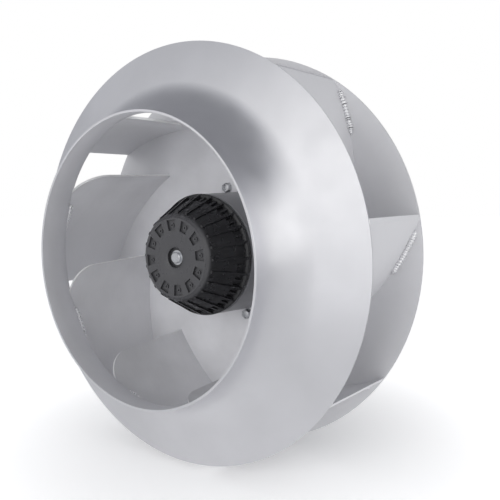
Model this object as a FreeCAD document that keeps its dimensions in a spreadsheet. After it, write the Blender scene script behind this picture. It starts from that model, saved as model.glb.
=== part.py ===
"""Plug fan: a free-running centrifugal impeller on an external rotor motor.

The fan axis is Y. The inlet faces -Y and the motor is bolted down by its rear face, whose
centre is the origin. Z is up and X points right for someone looking into the inlet.
Distances called "ahead" are measured from that rear face towards the inlet, so Y = -ahead.
Angles round the axis are clockwise from the top, as seen from the inlet.
"""
import FreeCAD, Part
import math
import os
import re

import Sketcher
from FreeCAD import Placement, Rotation, Vector

SIZES = {
    # Front shroud, a spun trumpet
    "throat_radius": 187.5,
    "throat_straight": 8.5,
    "flare_radius": 58.8,
    "cone_angle": 75,
    "rim_radius": 284,
    "shroud_sheet": 3,
    # Backplate and the air gap between the two discs
    "outlet_width": 141,
    "plate_radius": 291.5,
    "plate_sheet": 3,
    "collar_clearance": 0.3,
    # Blades, rolled from flat blanks
    "blade_count": 8,
    "blade_sheet": 3,
    "blade_camber": 335,
    "blade_inlet_angle": 18.6,
    "blade_first_angle": 40.3,
    "blade_lean": 2.4,
    "blade_corner": 47,
    "blade_reach": 32,
    "blade_setback": 0.5,
    "weld_gap": 0.1,
    "trim_margin": 20,
    # Screws that hold the backplate on the rotor
    "bolt_count": 4,
    "bolt_circle": 99.5,
    "bolt_angle": -11,
    "bolt_radius": 4,
    "bolt_hole_clearance": 0.5,
    "bolt_length": 12,
    "bolt_head_across": 13,
    "bolt_head_height": 5.3,
    "washer_radius": 8,
    "washer_thickness": 1.6,
    # Ribbed rotor cap
    "nose_lead": 3,
    "cap_depth": 60,
    "cap_face_radius": 54,
    "cap_bevel": 5.5,
    "cap_bevel_depth": 4,
    "cap_floor_rear": 83,
    "cap_wall": 5,
    "cap_end_wall": 9,
    "cap_rim_radius": 87,
    "cap_rim_width": 4.5,
    "cap_rim_chamfer": 1,
    "cap_rim_lead": 0.8,
    "cap_groove_width": 3,
    "cap_groove_depth": 2.5,
    "cap_spigot": 6,
    "cap_rib_count": 24,
    "cap_rib_width": 3.4,
    "cap_rib_height": 3,
    "cap_rib_root": 1,
    "pit_angle": 4.2,
    "pit_spread": 3.2,
    "pit_length": 12,
    "pit_depth": 3.5,
    "pocket_count": 12,
    "pocket_circle": 44.3,
    "pocket_height": 14.5,
    "pocket_inner_width": 11.5,
    "pocket_outer_width": 16,
    "pocket_depth": 3.2,
    "pocket_angle": -7,
    "peg_radius": 3,
    "peg_height": 1.4,
    "peg_hole_radius": 1.6,
    "recess_radius": 14,
    "recess_depth": 5,
    "recess_lip": 3,
    "recess_bevel": 1.5,
    "hub_radius": 22,
    "hub_length": 25,
    "hub_nose_radius": 13.5,
    "hub_nose_length": 1.5,
    # Rotor drum, the magnetic back iron
    "drum_bore": 82,
    "drum_front_radius": 87,
    "drum_front_chamfer": 1,
    "collar_radius": 91,
    "drum_flange_radius": 112,
    "drum_flange_thickness": 8,
    # Magnets
    "magnet_count": 8,
    "magnet_angle": 41,
    "magnet_thickness": 6,
    "magnet_length": 70,
    "magnet_gap": 1,
    # Shaft and its retaining ring
    "shaft_radius": 10,
    "shaft_nose_radius": 7.8,
    "shaft_nose_setback": 1,
    "shaft_chamfer": 1,
    "shaft_tail": 6,
    "ring_groove_depth": 0.6,
    "ring_thickness": 1.2,
    "ring_width": 3,
    "ring_gap": 6,
    # Deep groove ball bearings
    "bearing_outer_radius": 23.5,
    "bearing_width": 14,
    "inner_ring_radius": 14.2,
    "outer_ring_bore": 19.3,
    "ball_radius": 3.97,
    "ball_pitch": 16.75,
    "ball_clearance": 0.05,
    "ball_count": 8,
    "cage_inner": 15.9,
    "cage_outer": 17.6,
    "cage_width": 10.5,
    "cage_pocket_clearance": 0.12,
    # Wave spring
    "spring_inner": 20.6,
    "spring_outer": 23.2,
    "spring_space": 2.2,
    "spring_sheet": 0.6,
    "spring_waves": 3,
    "spring_points_per_wave": 8,
    # Motor flange with the bearing tube
    "tube_radius": 32,
    "tube_bore": 20,
    "tube_shoulder": 38,
    "tube_setback": 0.5,
    "flange_thickness": 10,
    "flange_lip": 0.3,
    "rotor_gap": 2.5,
    "labyrinth_height": 7,
    "labyrinth_wall": 3,
    "labyrinth_gap": 1.5,
    # Stator
    "slot_count": 12,
    "stack_radius": 75.2,
    "stack_length": 68,
    "yoke_radius": 44,
    "tooth_width": 14,
    "shoe_depth": 5.2,
    "shoe_tip": 1.7,
    "tooth_root": 1,
    "shoe_half_angle": 13,
    "insulator_sheet": 2,
    "coil_inner": 46,
    "coil_outer": 68,
    "coil_side": 4,
    "coil_end": 14,
    "coil_clearance": 0.3,
    # Electronics housing at the rear
    "motor_tail": 78,
    "gasket_sheet": 1.5,
    "housing_radius": 91,
    "housing_wall": 5,
    "housing_rim": 8,
    "housing_floor": 12,
    "fins_per_group": 5,
    "fin_group_angle": 36,
    "fin_height": 7,
    "fin_width": 2.5,
    "fin_margin": 8,
    "fin_root": 1,
    "column_root": 6,
    "mount_inset": 14,
    "mount_hole_radius": 4.25,
    "mount_hole_depth": 20,
    "mount_boss_radius": 11,
    "mount_boss_height": 26,
    "mount_count": 4,
    "mount_angle": 45,
    "cover_recess_radius": 56,
    "cover_recess_depth": 6,
    "cover_opening": 42,
    "housing_edge_chamfer": 1.5,
    # Screws that join the housing to the flange
    "joint_screw_count": 6,
    "joint_screw_radius": 2.5,
    "joint_head_gap": 0.3,
    "joint_screw_grip": 6,
    "joint_hole_clearance": 0.3,
    "joint_screw_head_radius": 4.2,
    "joint_screw_head_height": 4.5,
    "joint_socket_across": 4,
    "joint_socket_depth": 2.5,
    # Terminal cover at the rear
    "cover_radius": 54,
    "cover_sheet": 4,
    "cover_seal_sheet": 1,
    "cover_screw_count": 4,
    "cover_screw_circle": 50,
    "cover_screw_radius": 2,
    "cover_screw_length": 10,
    "cover_screw_head_radius": 3.6,
    "cover_screw_head_height": 1,
    "cover_dish_radius": 42,
    "cover_dish_depth": 1.5,
    # Electronics inside the housing
    "board_clearance": 4,
    "board_sheet": 2,
    "board_ahead": 40,
    "post_count": 3,
    "post_inset": 6,
    "post_radius": 4,
    "post_screw_radius": 1.5,
    "post_screw_depth": 6,
    "post_screw_head_radius": 2.8,
    "post_screw_head_height": 2,
    "capacitor_count": 4,
    "capacitor_gap": 6,
    "capacitor_radius": 9,
    "capacitor_height": 24,
    "module_width": 34,
    "module_length": 44,
    "module_offset": 50,
    "terminal_length": 60,
    "terminal_width": 16,
    "terminal_height": 16,
    "terminal_count": 5,
    "terminal_pitch": 11,
    "terminal_hole_radius": 2.5,
    "terminal_hole_depth": 8,
    # Cable glands under the housing
    "gland_block_depth": 9,
    "gland_block_root": 4,
    "gland_block_width": 74,
    "gland_block_length": 32,
    "gland_spacing": 34,
    "gland_ahead": 25,
    "gland_thread_radius": 10,
    "gland_thread_length": 9,
    "gland_across": 24,
    "gland_hex_height": 6,
    "gland_neck_radius": 9,
    "gland_neck_height": 9,
    "gland_bore": 6.5,
    "gland_seal_bore": 5,
    "gland_seal_height": 12,
    "gland_nut_radius": 12.5,
    "gland_nut_height": 16,
    "gland_nut_top": 5,
    "gland_nut_clearance": 0.15,
}

# Formulas on the names above, each written once
PLATE_REAR = "motor_tail"
PLATE_FRONT = "(motor_tail + plate_sheet)"
RIM = f"({PLATE_FRONT} + outlet_width)"
FLARE_END_RADIUS = "(throat_radius + flare_radius * (1 - cos(cone_angle)))"
CONE_DEPTH = f"((rim_radius - {FLARE_END_RADIUS}) / tan(cone_angle))"
FLARE_END = f"({RIM} + {CONE_DEPTH})"
FLARE_START = f"({FLARE_END} + flare_radius * sin(cone_angle))"
THROAT = f"({FLARE_START} + throat_straight)"
EYE_RADIUS = "(throat_radius - shroud_sheet)"
BLADE_FRONT = f"({RIM} + blade_reach)"

# Blade camber circle: its centre seen from the fan axis, and the angle that the blade sweeps
CAMBER_X = f"({EYE_RADIUS} - blade_camber * cos(blade_inlet_angle))"
CAMBER_Z = "(blade_camber * sin(blade_inlet_angle))"
CAMBER_OFFSET = f"sqrt({CAMBER_X}^2 + {CAMBER_Z}^2)"
REAR_TIP = "(plate_radius - blade_setback)"
FRONT_TIP = "(rim_radius - blade_setback)"


def camber_angle(radius):
    """Angle at the camber centre between the fan axis and a camber point at this radius."""
    cosine = f"({CAMBER_OFFSET}^2 + blade_camber^2 - ({radius})^2) / (2 * {CAMBER_OFFSET} * blade_camber)"
    return f"(acos({cosine}) / 1 deg)"



# Rotor
CAP_FACE = f"({RIM} + nose_lead)"
DRUM_FRONT = f"({CAP_FACE} - cap_depth)"
DRUM_REAR = f"({PLATE_REAR} - drum_flange_thickness)"
CAP_BEVEL_RADIUS = "(cap_face_radius + cap_bevel)"
HUB_END = f"({CAP_FACE} - cap_end_wall - hub_length)"
MAGNET_REAR = f"({DRUM_FRONT} - cap_spigot - magnet_gap - magnet_length)"
RIM_REAR_DEPTH = "(cap_depth - cap_groove_width)"
RIM_FRONT_DEPTH = f"({RIM_REAR_DEPTH} - cap_rim_width)"
CONE_END_DEPTH = f"({RIM_FRONT_DEPTH} - cap_rim_lead)"
CONE_SLOPE = f"((cap_floor_rear - {CAP_BEVEL_RADIUS}) / ({CONE_END_DEPTH} - cap_bevel_depth))"

# Motor
FRONT_BEARING = f"({HUB_END} - bearing_width)"
FLANGE_FRONT = f"({DRUM_REAR} - rotor_gap)"
FLANGE_REAR = f"({FLANGE_FRONT} - flange_thickness)"
REAR_BEARING = FLANGE_FRONT
REAR_SEAT = f"({REAR_BEARING} + bearing_width + spring_space)"
SHAFT_TAIL = f"({REAR_BEARING} - shaft_tail)"
TUBE_FRONT = f"({HUB_END} - tube_setback)"
STACK_REAR = f"({MAGNET_REAR} + (magnet_length - stack_length) / 2)"
STACK_FRONT = f"({STACK_REAR} + stack_length)"
HOUSING_FRONT = f"({FLANGE_REAR} - gasket_sheet)"
JOINT_CIRCLE = "(housing_radius + joint_head_gap + joint_screw_head_radius)"
JOINT_ANGLE = "(180 + 180 / joint_screw_count)"
FLANGE_RADIUS = f"({JOINT_CIRCLE} + joint_screw_head_radius + flange_lip)"
MOUNT_CIRCLE = "(housing_radius - mount_inset)"
GLAND_SEAT = "(housing_radius + gland_block_depth)"

# Electronics
BOARD_FRONT = "(board_ahead + board_sheet)"
BOARD_RADIUS = "(housing_radius - housing_wall - board_clearance)"
POST_CIRCLE = f"({BOARD_RADIUS} - post_inset)"
CAPACITOR_CIRCLE = f"({POST_CIRCLE} - post_radius - capacitor_gap - capacitor_radius)"
GLAND_PLACES = [(f"({side} * gland_spacing / 2)", "-gland_ahead") for side in (-1, 1)]


def link(formula):
    """Write a formula on the size names as one on the cells of the sheet."""

    def cell(word):
        return "dims." + word[0] if word[0] in SIZES else word[0]

    return re.sub(r"[a-z][a-z_]*", cell, formula)


def number(formula):
    """The value that a formula has now, to place a sketch's first geometry."""
    result = sheet.evalExpression(link(formula))
    return float(getattr(result, "Value", result))


doc = FreeCAD.newDocument("plug_fan")
sheet = doc.addObject("Spreadsheet::Sheet", "dims")
for row, (alias, size) in enumerate(SIZES.items(), start=1):
    sheet.set(f"A{row}", alias)
    sheet.set(f"B{row}", str(size))
    sheet.setAlias(f"B{row}", alias)
doc.recompute()

bodies = []

# How the sketcher names the places on a side or circle, and its own axes
START, END, CENTRE = 1, 2, 3
ACROSS, UPRIGHT = -1, -2


def new_body(label, several=False):
    """Start a sub-part; one that holds several like pieces allows separate solids."""
    body = doc.addObject("PartDesign::Body", label)
    body.Label = label
    body.AllowCompound = several
    bodies.append(body)
    return body


def origin_feature(body, role):
    return next(item for item in body.Origin.OriginFeatures if item.Role == role)


def new_sketch(body, name, role, offset=None, turn=None, axis=Vector(0, 1, 0)):
    """A sketch on an origin plane, moved along its normal or turned about one of its own axes."""
    sketch = body.newObject("Sketcher::SketchObject", f"{body.Label}_{name}")
    sketch.AttachmentSupport = [(origin_feature(body, role), "")]
    sketch.MapMode = "FlatFace"
    if offset:
        sketch.setExpression("AttachmentOffset.Base.z", link(offset))
    if turn:
        sketch.AttachmentOffset = Placement(Vector(), Rotation(axis, number(turn)))
        sketch.setExpression("AttachmentOffset.Rotation.Angle", link(turn))
    return sketch


def fix(sketch, kind, *where, formula):
    """Add one dimension and bind it to its formula."""
    index = sketch.addConstraint(Sketcher.Constraint(kind, *where, number(formula)))
    sketch.setExpression(f"Constraints[{index}]", link(formula))


def fix_point(sketch, geometry, end, x, y):
    """Hold a point at a place; a zero coordinate puts it on the sketch's axis."""
    for kind, formula, axis in (("DistanceX", x, UPRIGHT), ("DistanceY", y, ACROSS)):
        if formula == "0":
            sketch.addConstraint(Sketcher.Constraint("PointOnObject", geometry, end, axis))
        else:
            fix(sketch, kind, geometry, end, formula=formula)


def arc_between(start, finish, radius, turn):
    """Arc from start to finish that turns left for +1 and right for -1, and its point order."""
    chord = finish - start
    normal = Vector(-chord.y, chord.x, 0).normalize() * turn
    rise = math.sqrt(max(radius ** 2 - chord.Length ** 2 / 4, 0))
    centre = (start + finish) * 0.5 + normal * rise
    angles = [math.atan2(point.y - centre.y, point.x - centre.x) for point in (start, finish)]
    circle = Part.Circle(centre, Vector(0, 0, 1), radius)
    if turn > 0:
        return Part.ArcOfCircle(circle, angles[0], angles[1]), (START, END)
    return Part.ArcOfCircle(circle, angles[1], angles[0]), (END, START)


def draw(sketch, corners):
    """One closed loop. A corner (x, y) starts a straight side, and (x, y, radius, turn) an arc."""
    points = [Vector(number(corner[0]), number(corner[1]), 0) for corner in corners]
    sides = []
    for index, corner in enumerate(corners):
        start, finish = points[index], points[(index + 1) % len(points)]
        if len(corner) == 2:
            shape, ends = Part.LineSegment(start, finish), (START, END)
        else:
            shape, ends = arc_between(start, finish, number(corner[2]), corner[3])
        sides.append((sketch.addGeometry(shape, False), ends))
    for index, corner in enumerate(corners):
        geometry, ends = sides[index]
        before, before_ends = sides[index - 1]
        sketch.addConstraint(Sketcher.Constraint("Coincident", before, before_ends[1], geometry, ends[0]))
        fix_point(sketch, geometry, ends[0], corner[0], corner[1])
        if len(corner) == 4:
            fix(sketch, "Radius", geometry, formula=corner[2])
    return sides


def draw_circle(sketch, radius, x="0", y="0"):
    centre = Vector(number(x), number(y), 0)
    geometry = sketch.addGeometry(Part.Circle(centre, Vector(0, 0, 1), number(radius)), False)
    fix_point(sketch, geometry, CENTRE, x, y)
    fix(sketch, "Radius", geometry, formula=radius)


def draw_hexagon(sketch, across, x, y):
    """A hexagon of the given width across its flats."""
    corner_radius = f"{across} / sqrt(3)"
    corners = []
    for angle in range(0, 360, 60):
        out = f"({x} + {corner_radius} * cos({angle}))"
        up = f"({y} + {corner_radius} * sin({angle}))"
        corners.append((out, up))
    draw(sketch, corners)


def side_profile(body, name, corners, turn=None):
    """Sketch through the fan axis; corners are (radius, ahead) with optional arc data."""
    sketch = new_sketch(body, name, "XY_Plane", turn=turn)
    draw(sketch, [(corner[0], f"-({corner[1]})", *corner[2:]) for corner in corners])
    return sketch


def feature(body, kind, sketch, **bound):
    """Add a sketch-based feature; bound names its properties and their formulas."""
    made = body.newObject(f"PartDesign::{kind}", f"{sketch.Name}_{kind.lower()}")
    made.Profile = sketch
    for name, formula in bound.items():
        made.setExpression(name, link(formula))
    sketch.Visibility = False
    return made


def cut_ahead(body, sketch, depth):
    """Cut from a sketch along its plane's own normal, which is towards the inlet on XZ."""
    cut = feature(body, "Pocket", sketch, Length=depth)
    cut.Reversed = True
    return cut


def revolve(body, sketch, kind="Revolution", angle="360"):
    made = feature(body, kind, sketch, Angle=angle)
    made.ReferenceAxis = (sketch, ["V_Axis"])
    return made


def polar(body, originals, count, span="360"):
    """Repeat features round the fan axis."""
    pattern = body.newObject("PartDesign::PolarPattern", f"{originals[0].Name}_ring")
    pattern.Originals = originals
    pattern.Axis = (origin_feature(body, "Y_Axis"), [""])
    pattern.setExpression("Angle", link(span))
    pattern.setExpression("Occurrences", link(count))
    body.Tip = pattern
    return pattern


def around(radius, angle):
    """Place at a radius and a clockwise angle from the top, for a sketch seen from the inlet."""
    return f"({radius} * sin({angle}))", f"({radius} * cos({angle}))"


def disc(body, name, ahead, thickness, radius, bore=None):
    """A flat ring or disc whose rear face lies at the given distance ahead."""
    sketch = new_sketch(body, name, "XZ_Plane", offset=ahead)
    draw_circle(sketch, radius)
    if bore:
        draw_circle(sketch, bore)
    return feature(body, "Pad", sketch, Length=thickness)


def make_front_shroud():
    """Spun trumpet: straight throat, round flare and conical skirt of even thickness."""
    body = new_body("front_shroud")
    inward = "shroud_sheet * cos(cone_angle)"
    backward = "shroud_sheet * sin(cone_angle)"
    inner_flare = "flare_radius + shroud_sheet"
    revolve(body, side_profile(body, "profile", [
        ("throat_radius", THROAT),
        ("throat_radius", FLARE_START, "flare_radius", -1),
        (FLARE_END_RADIUS, FLARE_END),
        ("rim_radius", RIM),
        (f"(rim_radius - {inward})", f"({RIM} - {backward})"),
        (f"({FLARE_END_RADIUS} - {inward})", f"({FLARE_END} - {backward})", inner_flare, 1),
        (EYE_RADIUS, FLARE_START),
        (EYE_RADIUS, THROAT),
    ]))


def make_backplate():
    """Flat disc with a bore over the rotor and clearance holes for its screws."""
    body = new_body("backplate")
    disc(body, "disc", PLATE_REAR, "plate_sheet", "plate_radius", "(collar_radius + collar_clearance)")
    sketch = new_sketch(body, "hole", "XZ_Plane", offset=PLATE_FRONT)
    draw_circle(sketch, "(bolt_radius + bolt_hole_clearance)", *around("bolt_circle", "bolt_angle"))
    hole = feature(body, "Pocket", sketch, Length="plate_sheet")
    polar(body, [hole], "bolt_count")


def draw_blade_section(body, name, ahead, lean=None):
    """Section of the rolled sheet: two concentric arcs from the eye to beyond the tips."""
    normal = Vector(0, 0, 1)
    section = new_sketch(body, name, "XZ_Plane", offset=ahead, turn=lean, axis=normal)
    centre = Vector(number(CAMBER_X), number(CAMBER_Z), 0)
    end_radius = "(plate_radius + trim_margin)"
    start = math.radians(-number("blade_inlet_angle"))
    sweep = math.radians(number(f"{camber_angle(end_radius)} - {camber_angle(EYE_RADIUS)}"))
    arcs = []
    for radius in ("blade_camber", "blade_camber + blade_sheet"):
        circle = Part.Circle(centre, normal, number(radius))
        arcs.append(section.addGeometry(Part.ArcOfCircle(circle, start, start + sweep), False))
        fix(section, "Radius", arcs[-1], formula=radius)
    inner, outer = (section.Geometry[arc] for arc in arcs)
    fix_point(section, arcs[0], CENTRE, CAMBER_X, CAMBER_Z)
    section.addConstraint(Sketcher.Constraint("Coincident", arcs[1], CENTRE, arcs[0], CENTRE))
    section.addConstraint(Sketcher.Constraint("PointOnObject", arcs[0], START, ACROSS))
    fix(section, "Distance", arcs[0], END, ACROSS, START, formula=end_radius)
    for end, points in (
            (START, (inner.StartPoint, outer.StartPoint)),
            (END, (inner.EndPoint, outer.EndPoint))):
        line = section.addGeometry(Part.LineSegment(*points), False)
        section.addConstraint(Sketcher.Constraint("Coincident", line, START, arcs[0], end))
        section.addConstraint(Sketcher.Constraint("Coincident", line, END, arcs[1], end))
        section.addConstraint(Sketcher.Constraint("PointOnObject", arcs[0], CENTRE, line))
    return section


def make_blade(index):
    """Rolled sheet on a circular camber line that leans a little from the backplate to the shroud."""
    body = new_body(f"blade_{index + 1}")
    body.Placement = Placement(Vector(), Rotation(Vector(0, 1, 0), 1))
    place = f"blade_first_angle - 90 + {index} * 360 / blade_count"
    body.setExpression("Placement.Rotation.Angle", link(place))
    lean = "(blade_lean * (outlet_width + blade_reach) / outlet_width)"
    loft = body.newObject("PartDesign::AdditiveLoft", f"{body.Label}_sheet")
    loft.Profile = draw_blade_section(body, "rear_section", PLATE_FRONT)
    loft.Sections = [draw_blade_section(body, "front_section", BLADE_FRONT, lean)]
    loft.Ruled = True
    return body


def make_blade_trims(body):
    """Trim a blade to the shroud's inner face, to both rims and to its round inlet corner."""
    inward = "(shroud_sheet * cos(cone_angle) + weld_gap)"
    backward = "(shroud_sheet * sin(cone_angle) + weld_gap)"
    eye = f"({EYE_RADIUS} - weld_gap)"
    beyond = "(plate_radius + 2 * trim_margin)"
    cone_drop = f"(({beyond} - rim_radius) / tan(cone_angle))"
    revolve(body, side_profile(body, "shroud_line", [
        (eye, f"({THROAT} + trim_margin)"),
        (eye, FLARE_START, "flare_radius + shroud_sheet + weld_gap", -1),
        (f"({FLARE_END_RADIUS} - {inward})", f"({FLARE_END} - {backward})"),
        (f"({beyond} - {inward})", f"({RIM} - {cone_drop} - {backward})"),
        (f"({beyond} - {inward})", f"({THROAT} + trim_margin)"),
    ]), "Groove")
    revolve(body, side_profile(body, "tip_line", [
        (REAR_TIP, PLATE_FRONT),
        (beyond, PLATE_FRONT),
        (beyond, RIM),
        (FRONT_TIP, RIM),
    ]), "Groove")

    # Seen square to the sheet at its leading edge, the corner is a quarter circle
    corner_front = f"({BLADE_FRONT} - blade_corner)"
    lean = f"(blade_lean * ({corner_front} - {PLATE_FRONT}) / outlet_width)"
    tangent = "(90 - blade_inlet_angle)"
    start = f"({EYE_RADIUS} * cos({tangent}))"
    corner = new_sketch(body, "corner", "XY_Plane", turn=f"-({tangent} + {lean})")
    draw(corner, [
        (f"({start} - trim_margin)", f"-{corner_front}"),
        (start, f"-{corner_front}", "blade_corner", 1),
        (f"({start} + blade_corner)", f"-{BLADE_FRONT}"),
        (f"({start} + blade_corner)", f"-({BLADE_FRONT} + trim_margin)"),
        (f"({start} - trim_margin)", f"-({BLADE_FRONT} + trim_margin)"),
    ])
    cut = feature(body, "Pocket", corner, Length="2 * plate_radius")
    cut.Midplane = True


def make_backplate_screws():
    """Hexagon screws with a round shank, and the flat washers under their heads."""
    washers = new_body("impeller_washers", several=True)
    x, z = around("bolt_circle", "bolt_angle")
    ring = new_sketch(washers, "ring", "XZ_Plane", offset=PLATE_FRONT)
    draw_circle(ring, "washer_radius", x, z)
    draw_circle(ring, "bolt_radius", x, z)
    polar(washers, [feature(washers, "Pad", ring, Length="washer_thickness")], "bolt_count")

    screws = new_body("impeller_screws", several=True)
    seat = f"({PLATE_FRONT} + washer_thickness)"
    head = new_sketch(screws, "head", "XZ_Plane", offset=seat)
    draw_hexagon(head, "bolt_head_across", x, z)
    head_pad = feature(screws, "Pad", head, Length="bolt_head_height")
    shank = new_sketch(screws, "shank", "XZ_Plane", offset=f"({seat} - bolt_length)")
    draw_circle(shank, "bolt_radius", x, z)
    shank_pad = feature(screws, "Pad", shank, Length="bolt_length")
    polar(screws, [head_pad, shank_pad], "bolt_count")


def make_rotor_cap():
    """Die-cast cap: conical ribbed wall, pocketed end face, hub on the shaft and a rear rim."""
    body = new_body("rotor_cap")

    def behind(depth):
        return f"({CAP_FACE} - ({depth}))"

    revolve(body, side_profile(body, "wall", [
        ("shaft_radius", behind("recess_depth")),
        ("recess_radius", behind("recess_depth")),
        ("recess_radius", behind("recess_bevel")),
        ("(recess_radius + recess_lip)", behind("0")),
        ("cap_face_radius", behind("0")),
        (CAP_BEVEL_RADIUS, behind("cap_bevel_depth")),
        ("cap_floor_rear", behind(CONE_END_DEPTH)),
        ("(cap_rim_radius - cap_rim_chamfer)", behind(RIM_FRONT_DEPTH)),
        ("cap_rim_radius", behind(f"{RIM_FRONT_DEPTH} + cap_rim_chamfer")),
        ("cap_rim_radius", behind(f"{RIM_REAR_DEPTH} - cap_rim_chamfer")),
        ("(cap_rim_radius - cap_rim_chamfer)", behind(RIM_REAR_DEPTH)),
        ("(cap_rim_radius - cap_groove_depth)", behind(RIM_REAR_DEPTH)),
        ("(cap_rim_radius - cap_groove_depth)", behind("cap_depth")),
        ("drum_bore", behind("cap_depth")),
        ("drum_bore", behind("cap_depth + cap_spigot")),
        ("(drum_bore - cap_wall)", behind("cap_depth + cap_spigot")),
        ("(cap_floor_rear - cap_wall)", behind(CONE_END_DEPTH)),
        (f"({CAP_BEVEL_RADIUS} - cap_wall)", behind("cap_end_wall")),
        ("hub_radius", behind("cap_end_wall")),
        ("hub_radius", f"({HUB_END} + hub_nose_length)"),
        ("hub_nose_radius", f"({HUB_END} + hub_nose_length)"),
        ("hub_nose_radius", HUB_END),
        ("shaft_radius", HUB_END),
    ]))

    rib = side_profile(body, "rib", [
        (f"({CAP_BEVEL_RADIUS} - cap_rib_root)", behind("cap_bevel_depth + cap_rib_root")),
        (f"({CAP_BEVEL_RADIUS} + cap_rib_height)", behind("cap_bevel_depth + 2 * cap_rib_root")),
        ("(cap_rim_radius - cap_rim_chamfer)", behind(RIM_FRONT_DEPTH)),
        ("(cap_floor_rear - cap_rib_root)", behind(RIM_FRONT_DEPTH)),
    ])
    rib_pad = feature(body, "Pad", rib, Length="cap_rib_width")
    rib_pad.Midplane = True
    polar(body, [rib_pad], "cap_rib_count")

    # Two pits end each channel between the ribs
    pit_front = f"({CONE_END_DEPTH} - pit_length)"
    for side in (-1, 1):
        pit = side_profile(body, f"pit_{'left' if side < 0 else 'right'}", [
            ("(cap_floor_rear - pit_depth)", behind(CONE_END_DEPTH)),
            ("(cap_rim_radius - cap_rim_chamfer)", behind(CONE_END_DEPTH)),
            ("(cap_rim_radius - cap_rim_chamfer)", behind(pit_front)),
            (f"(cap_floor_rear - pit_depth - {CONE_SLOPE} * pit_length)", behind(pit_front)),
        ], turn=f"180 / cap_rib_count + {side} * pit_spread")
        cut = revolve(body, pit, "Groove", "pit_angle")
        cut.Midplane = True
        polar(body, [cut], "cap_rib_count")

    x, z = around("pocket_circle", "pocket_angle")

    def pocket_corner(out, across):
        """Corner of a pocket at so much outwards and sideways from its centre."""
        place_x = f"((pocket_circle + {out}) * sin(pocket_angle) + ({across}) * cos(pocket_angle))"
        place_z = f"((pocket_circle + {out}) * cos(pocket_angle) - ({across}) * sin(pocket_angle))"
        return place_x, place_z

    pocket = new_sketch(body, "pocket", "XZ_Plane", offset=CAP_FACE)
    draw(pocket, [
        pocket_corner("-pocket_height / 2", "-pocket_inner_width / 2"),
        pocket_corner("pocket_height / 2", "-pocket_outer_width / 2"),
        pocket_corner("pocket_height / 2", "pocket_outer_width / 2"),
        pocket_corner("-pocket_height / 2", "pocket_inner_width / 2"),
    ])
    pocket_cut = feature(body, "Pocket", pocket, Length="pocket_depth")
    polar(body, [pocket_cut], "pocket_count")
    peg = new_sketch(body, "peg", "XZ_Plane", offset=behind("pocket_depth"))
    draw_circle(peg, "peg_radius", x, z)
    draw_circle(peg, "peg_hole_radius", x, z)
    polar(body, [feature(body, "Pad", peg, Length="peg_height")], "pocket_count")


def make_rotor_drum():
    """Steel back iron: slightly conical collar that carries the impeller flange behind the plate."""
    body = new_body("rotor_drum")
    revolve(body, side_profile(body, "profile", [
        ("drum_bore", DRUM_FRONT),
        ("(drum_front_radius - drum_front_chamfer)", DRUM_FRONT),
        ("drum_front_radius", f"({DRUM_FRONT} - drum_front_chamfer)"),
        ("collar_radius", PLATE_FRONT),
        ("collar_radius", PLATE_REAR),
        ("drum_flange_radius", PLATE_REAR),
        ("drum_flange_radius", DRUM_REAR),
        ("drum_bore", DRUM_REAR),
    ]))
    sketch = new_sketch(body, "hole", "XZ_Plane", offset=PLATE_REAR)
    draw_circle(sketch, "bolt_radius", *around("bolt_circle", "bolt_angle"))
    polar(body, [feature(body, "Pocket", sketch, Length="drum_flange_thickness")], "bolt_count")


def make_magnets():
    """Curved magnets glued inside the drum, one for each pole."""
    body = new_body("rotor_magnets", several=True)
    section = side_profile(body, "section", [
        ("(drum_bore - magnet_thickness)", MAGNET_REAR),
        ("drum_bore", MAGNET_REAR),
        ("drum_bore", f"({MAGNET_REAR} + magnet_length)"),
        ("(drum_bore - magnet_thickness)", f"({MAGNET_REAR} + magnet_length)"),
    ])
    polar(body, [revolve(body, section, angle="magnet_angle")], "magnet_count")


def make_shaft():
    """Steel shaft with a stepped front end and a groove for its retaining ring."""
    nose = f"({CAP_FACE} - shaft_nose_setback)"
    ring_front = REAR_BEARING
    ring_rear = f"({REAR_BEARING} - ring_thickness)"
    groove = "(shaft_radius - ring_groove_depth)"
    body = new_body("shaft")
    revolve(body, side_profile(body, "profile", [
        ("0", nose),
        ("(shaft_nose_radius - shaft_chamfer)", nose),
        ("shaft_nose_radius", f"({nose} - shaft_chamfer)"),
        ("shaft_nose_radius", f"({CAP_FACE} - recess_depth)"),
        ("shaft_radius", f"({CAP_FACE} - recess_depth)"),
        ("shaft_radius", ring_front),
        (groove, ring_front),
        (groove, ring_rear),
        ("shaft_radius", ring_rear),
        ("shaft_radius", f"({SHAFT_TAIL} + shaft_chamfer)"),
        ("(shaft_radius - shaft_chamfer)", SHAFT_TAIL),
        ("0", SHAFT_TAIL),
    ]))

    ring = new_body("shaft_retaining_ring")
    outer = f"({groove} + ring_width)"
    disc(ring, "ring", ring_rear, "ring_thickness", outer, groove)
    gap = new_sketch(ring, "gap", "XZ_Plane", offset=ring_rear)
    half = "(ring_gap / 2)"
    draw(gap, [(f"-{half}", f"-{outer}"), (half, f"-{outer}"), (half, "0"), (f"-{half}", "0")])
    cut_ahead(ring, gap, "ring_thickness")


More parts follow.
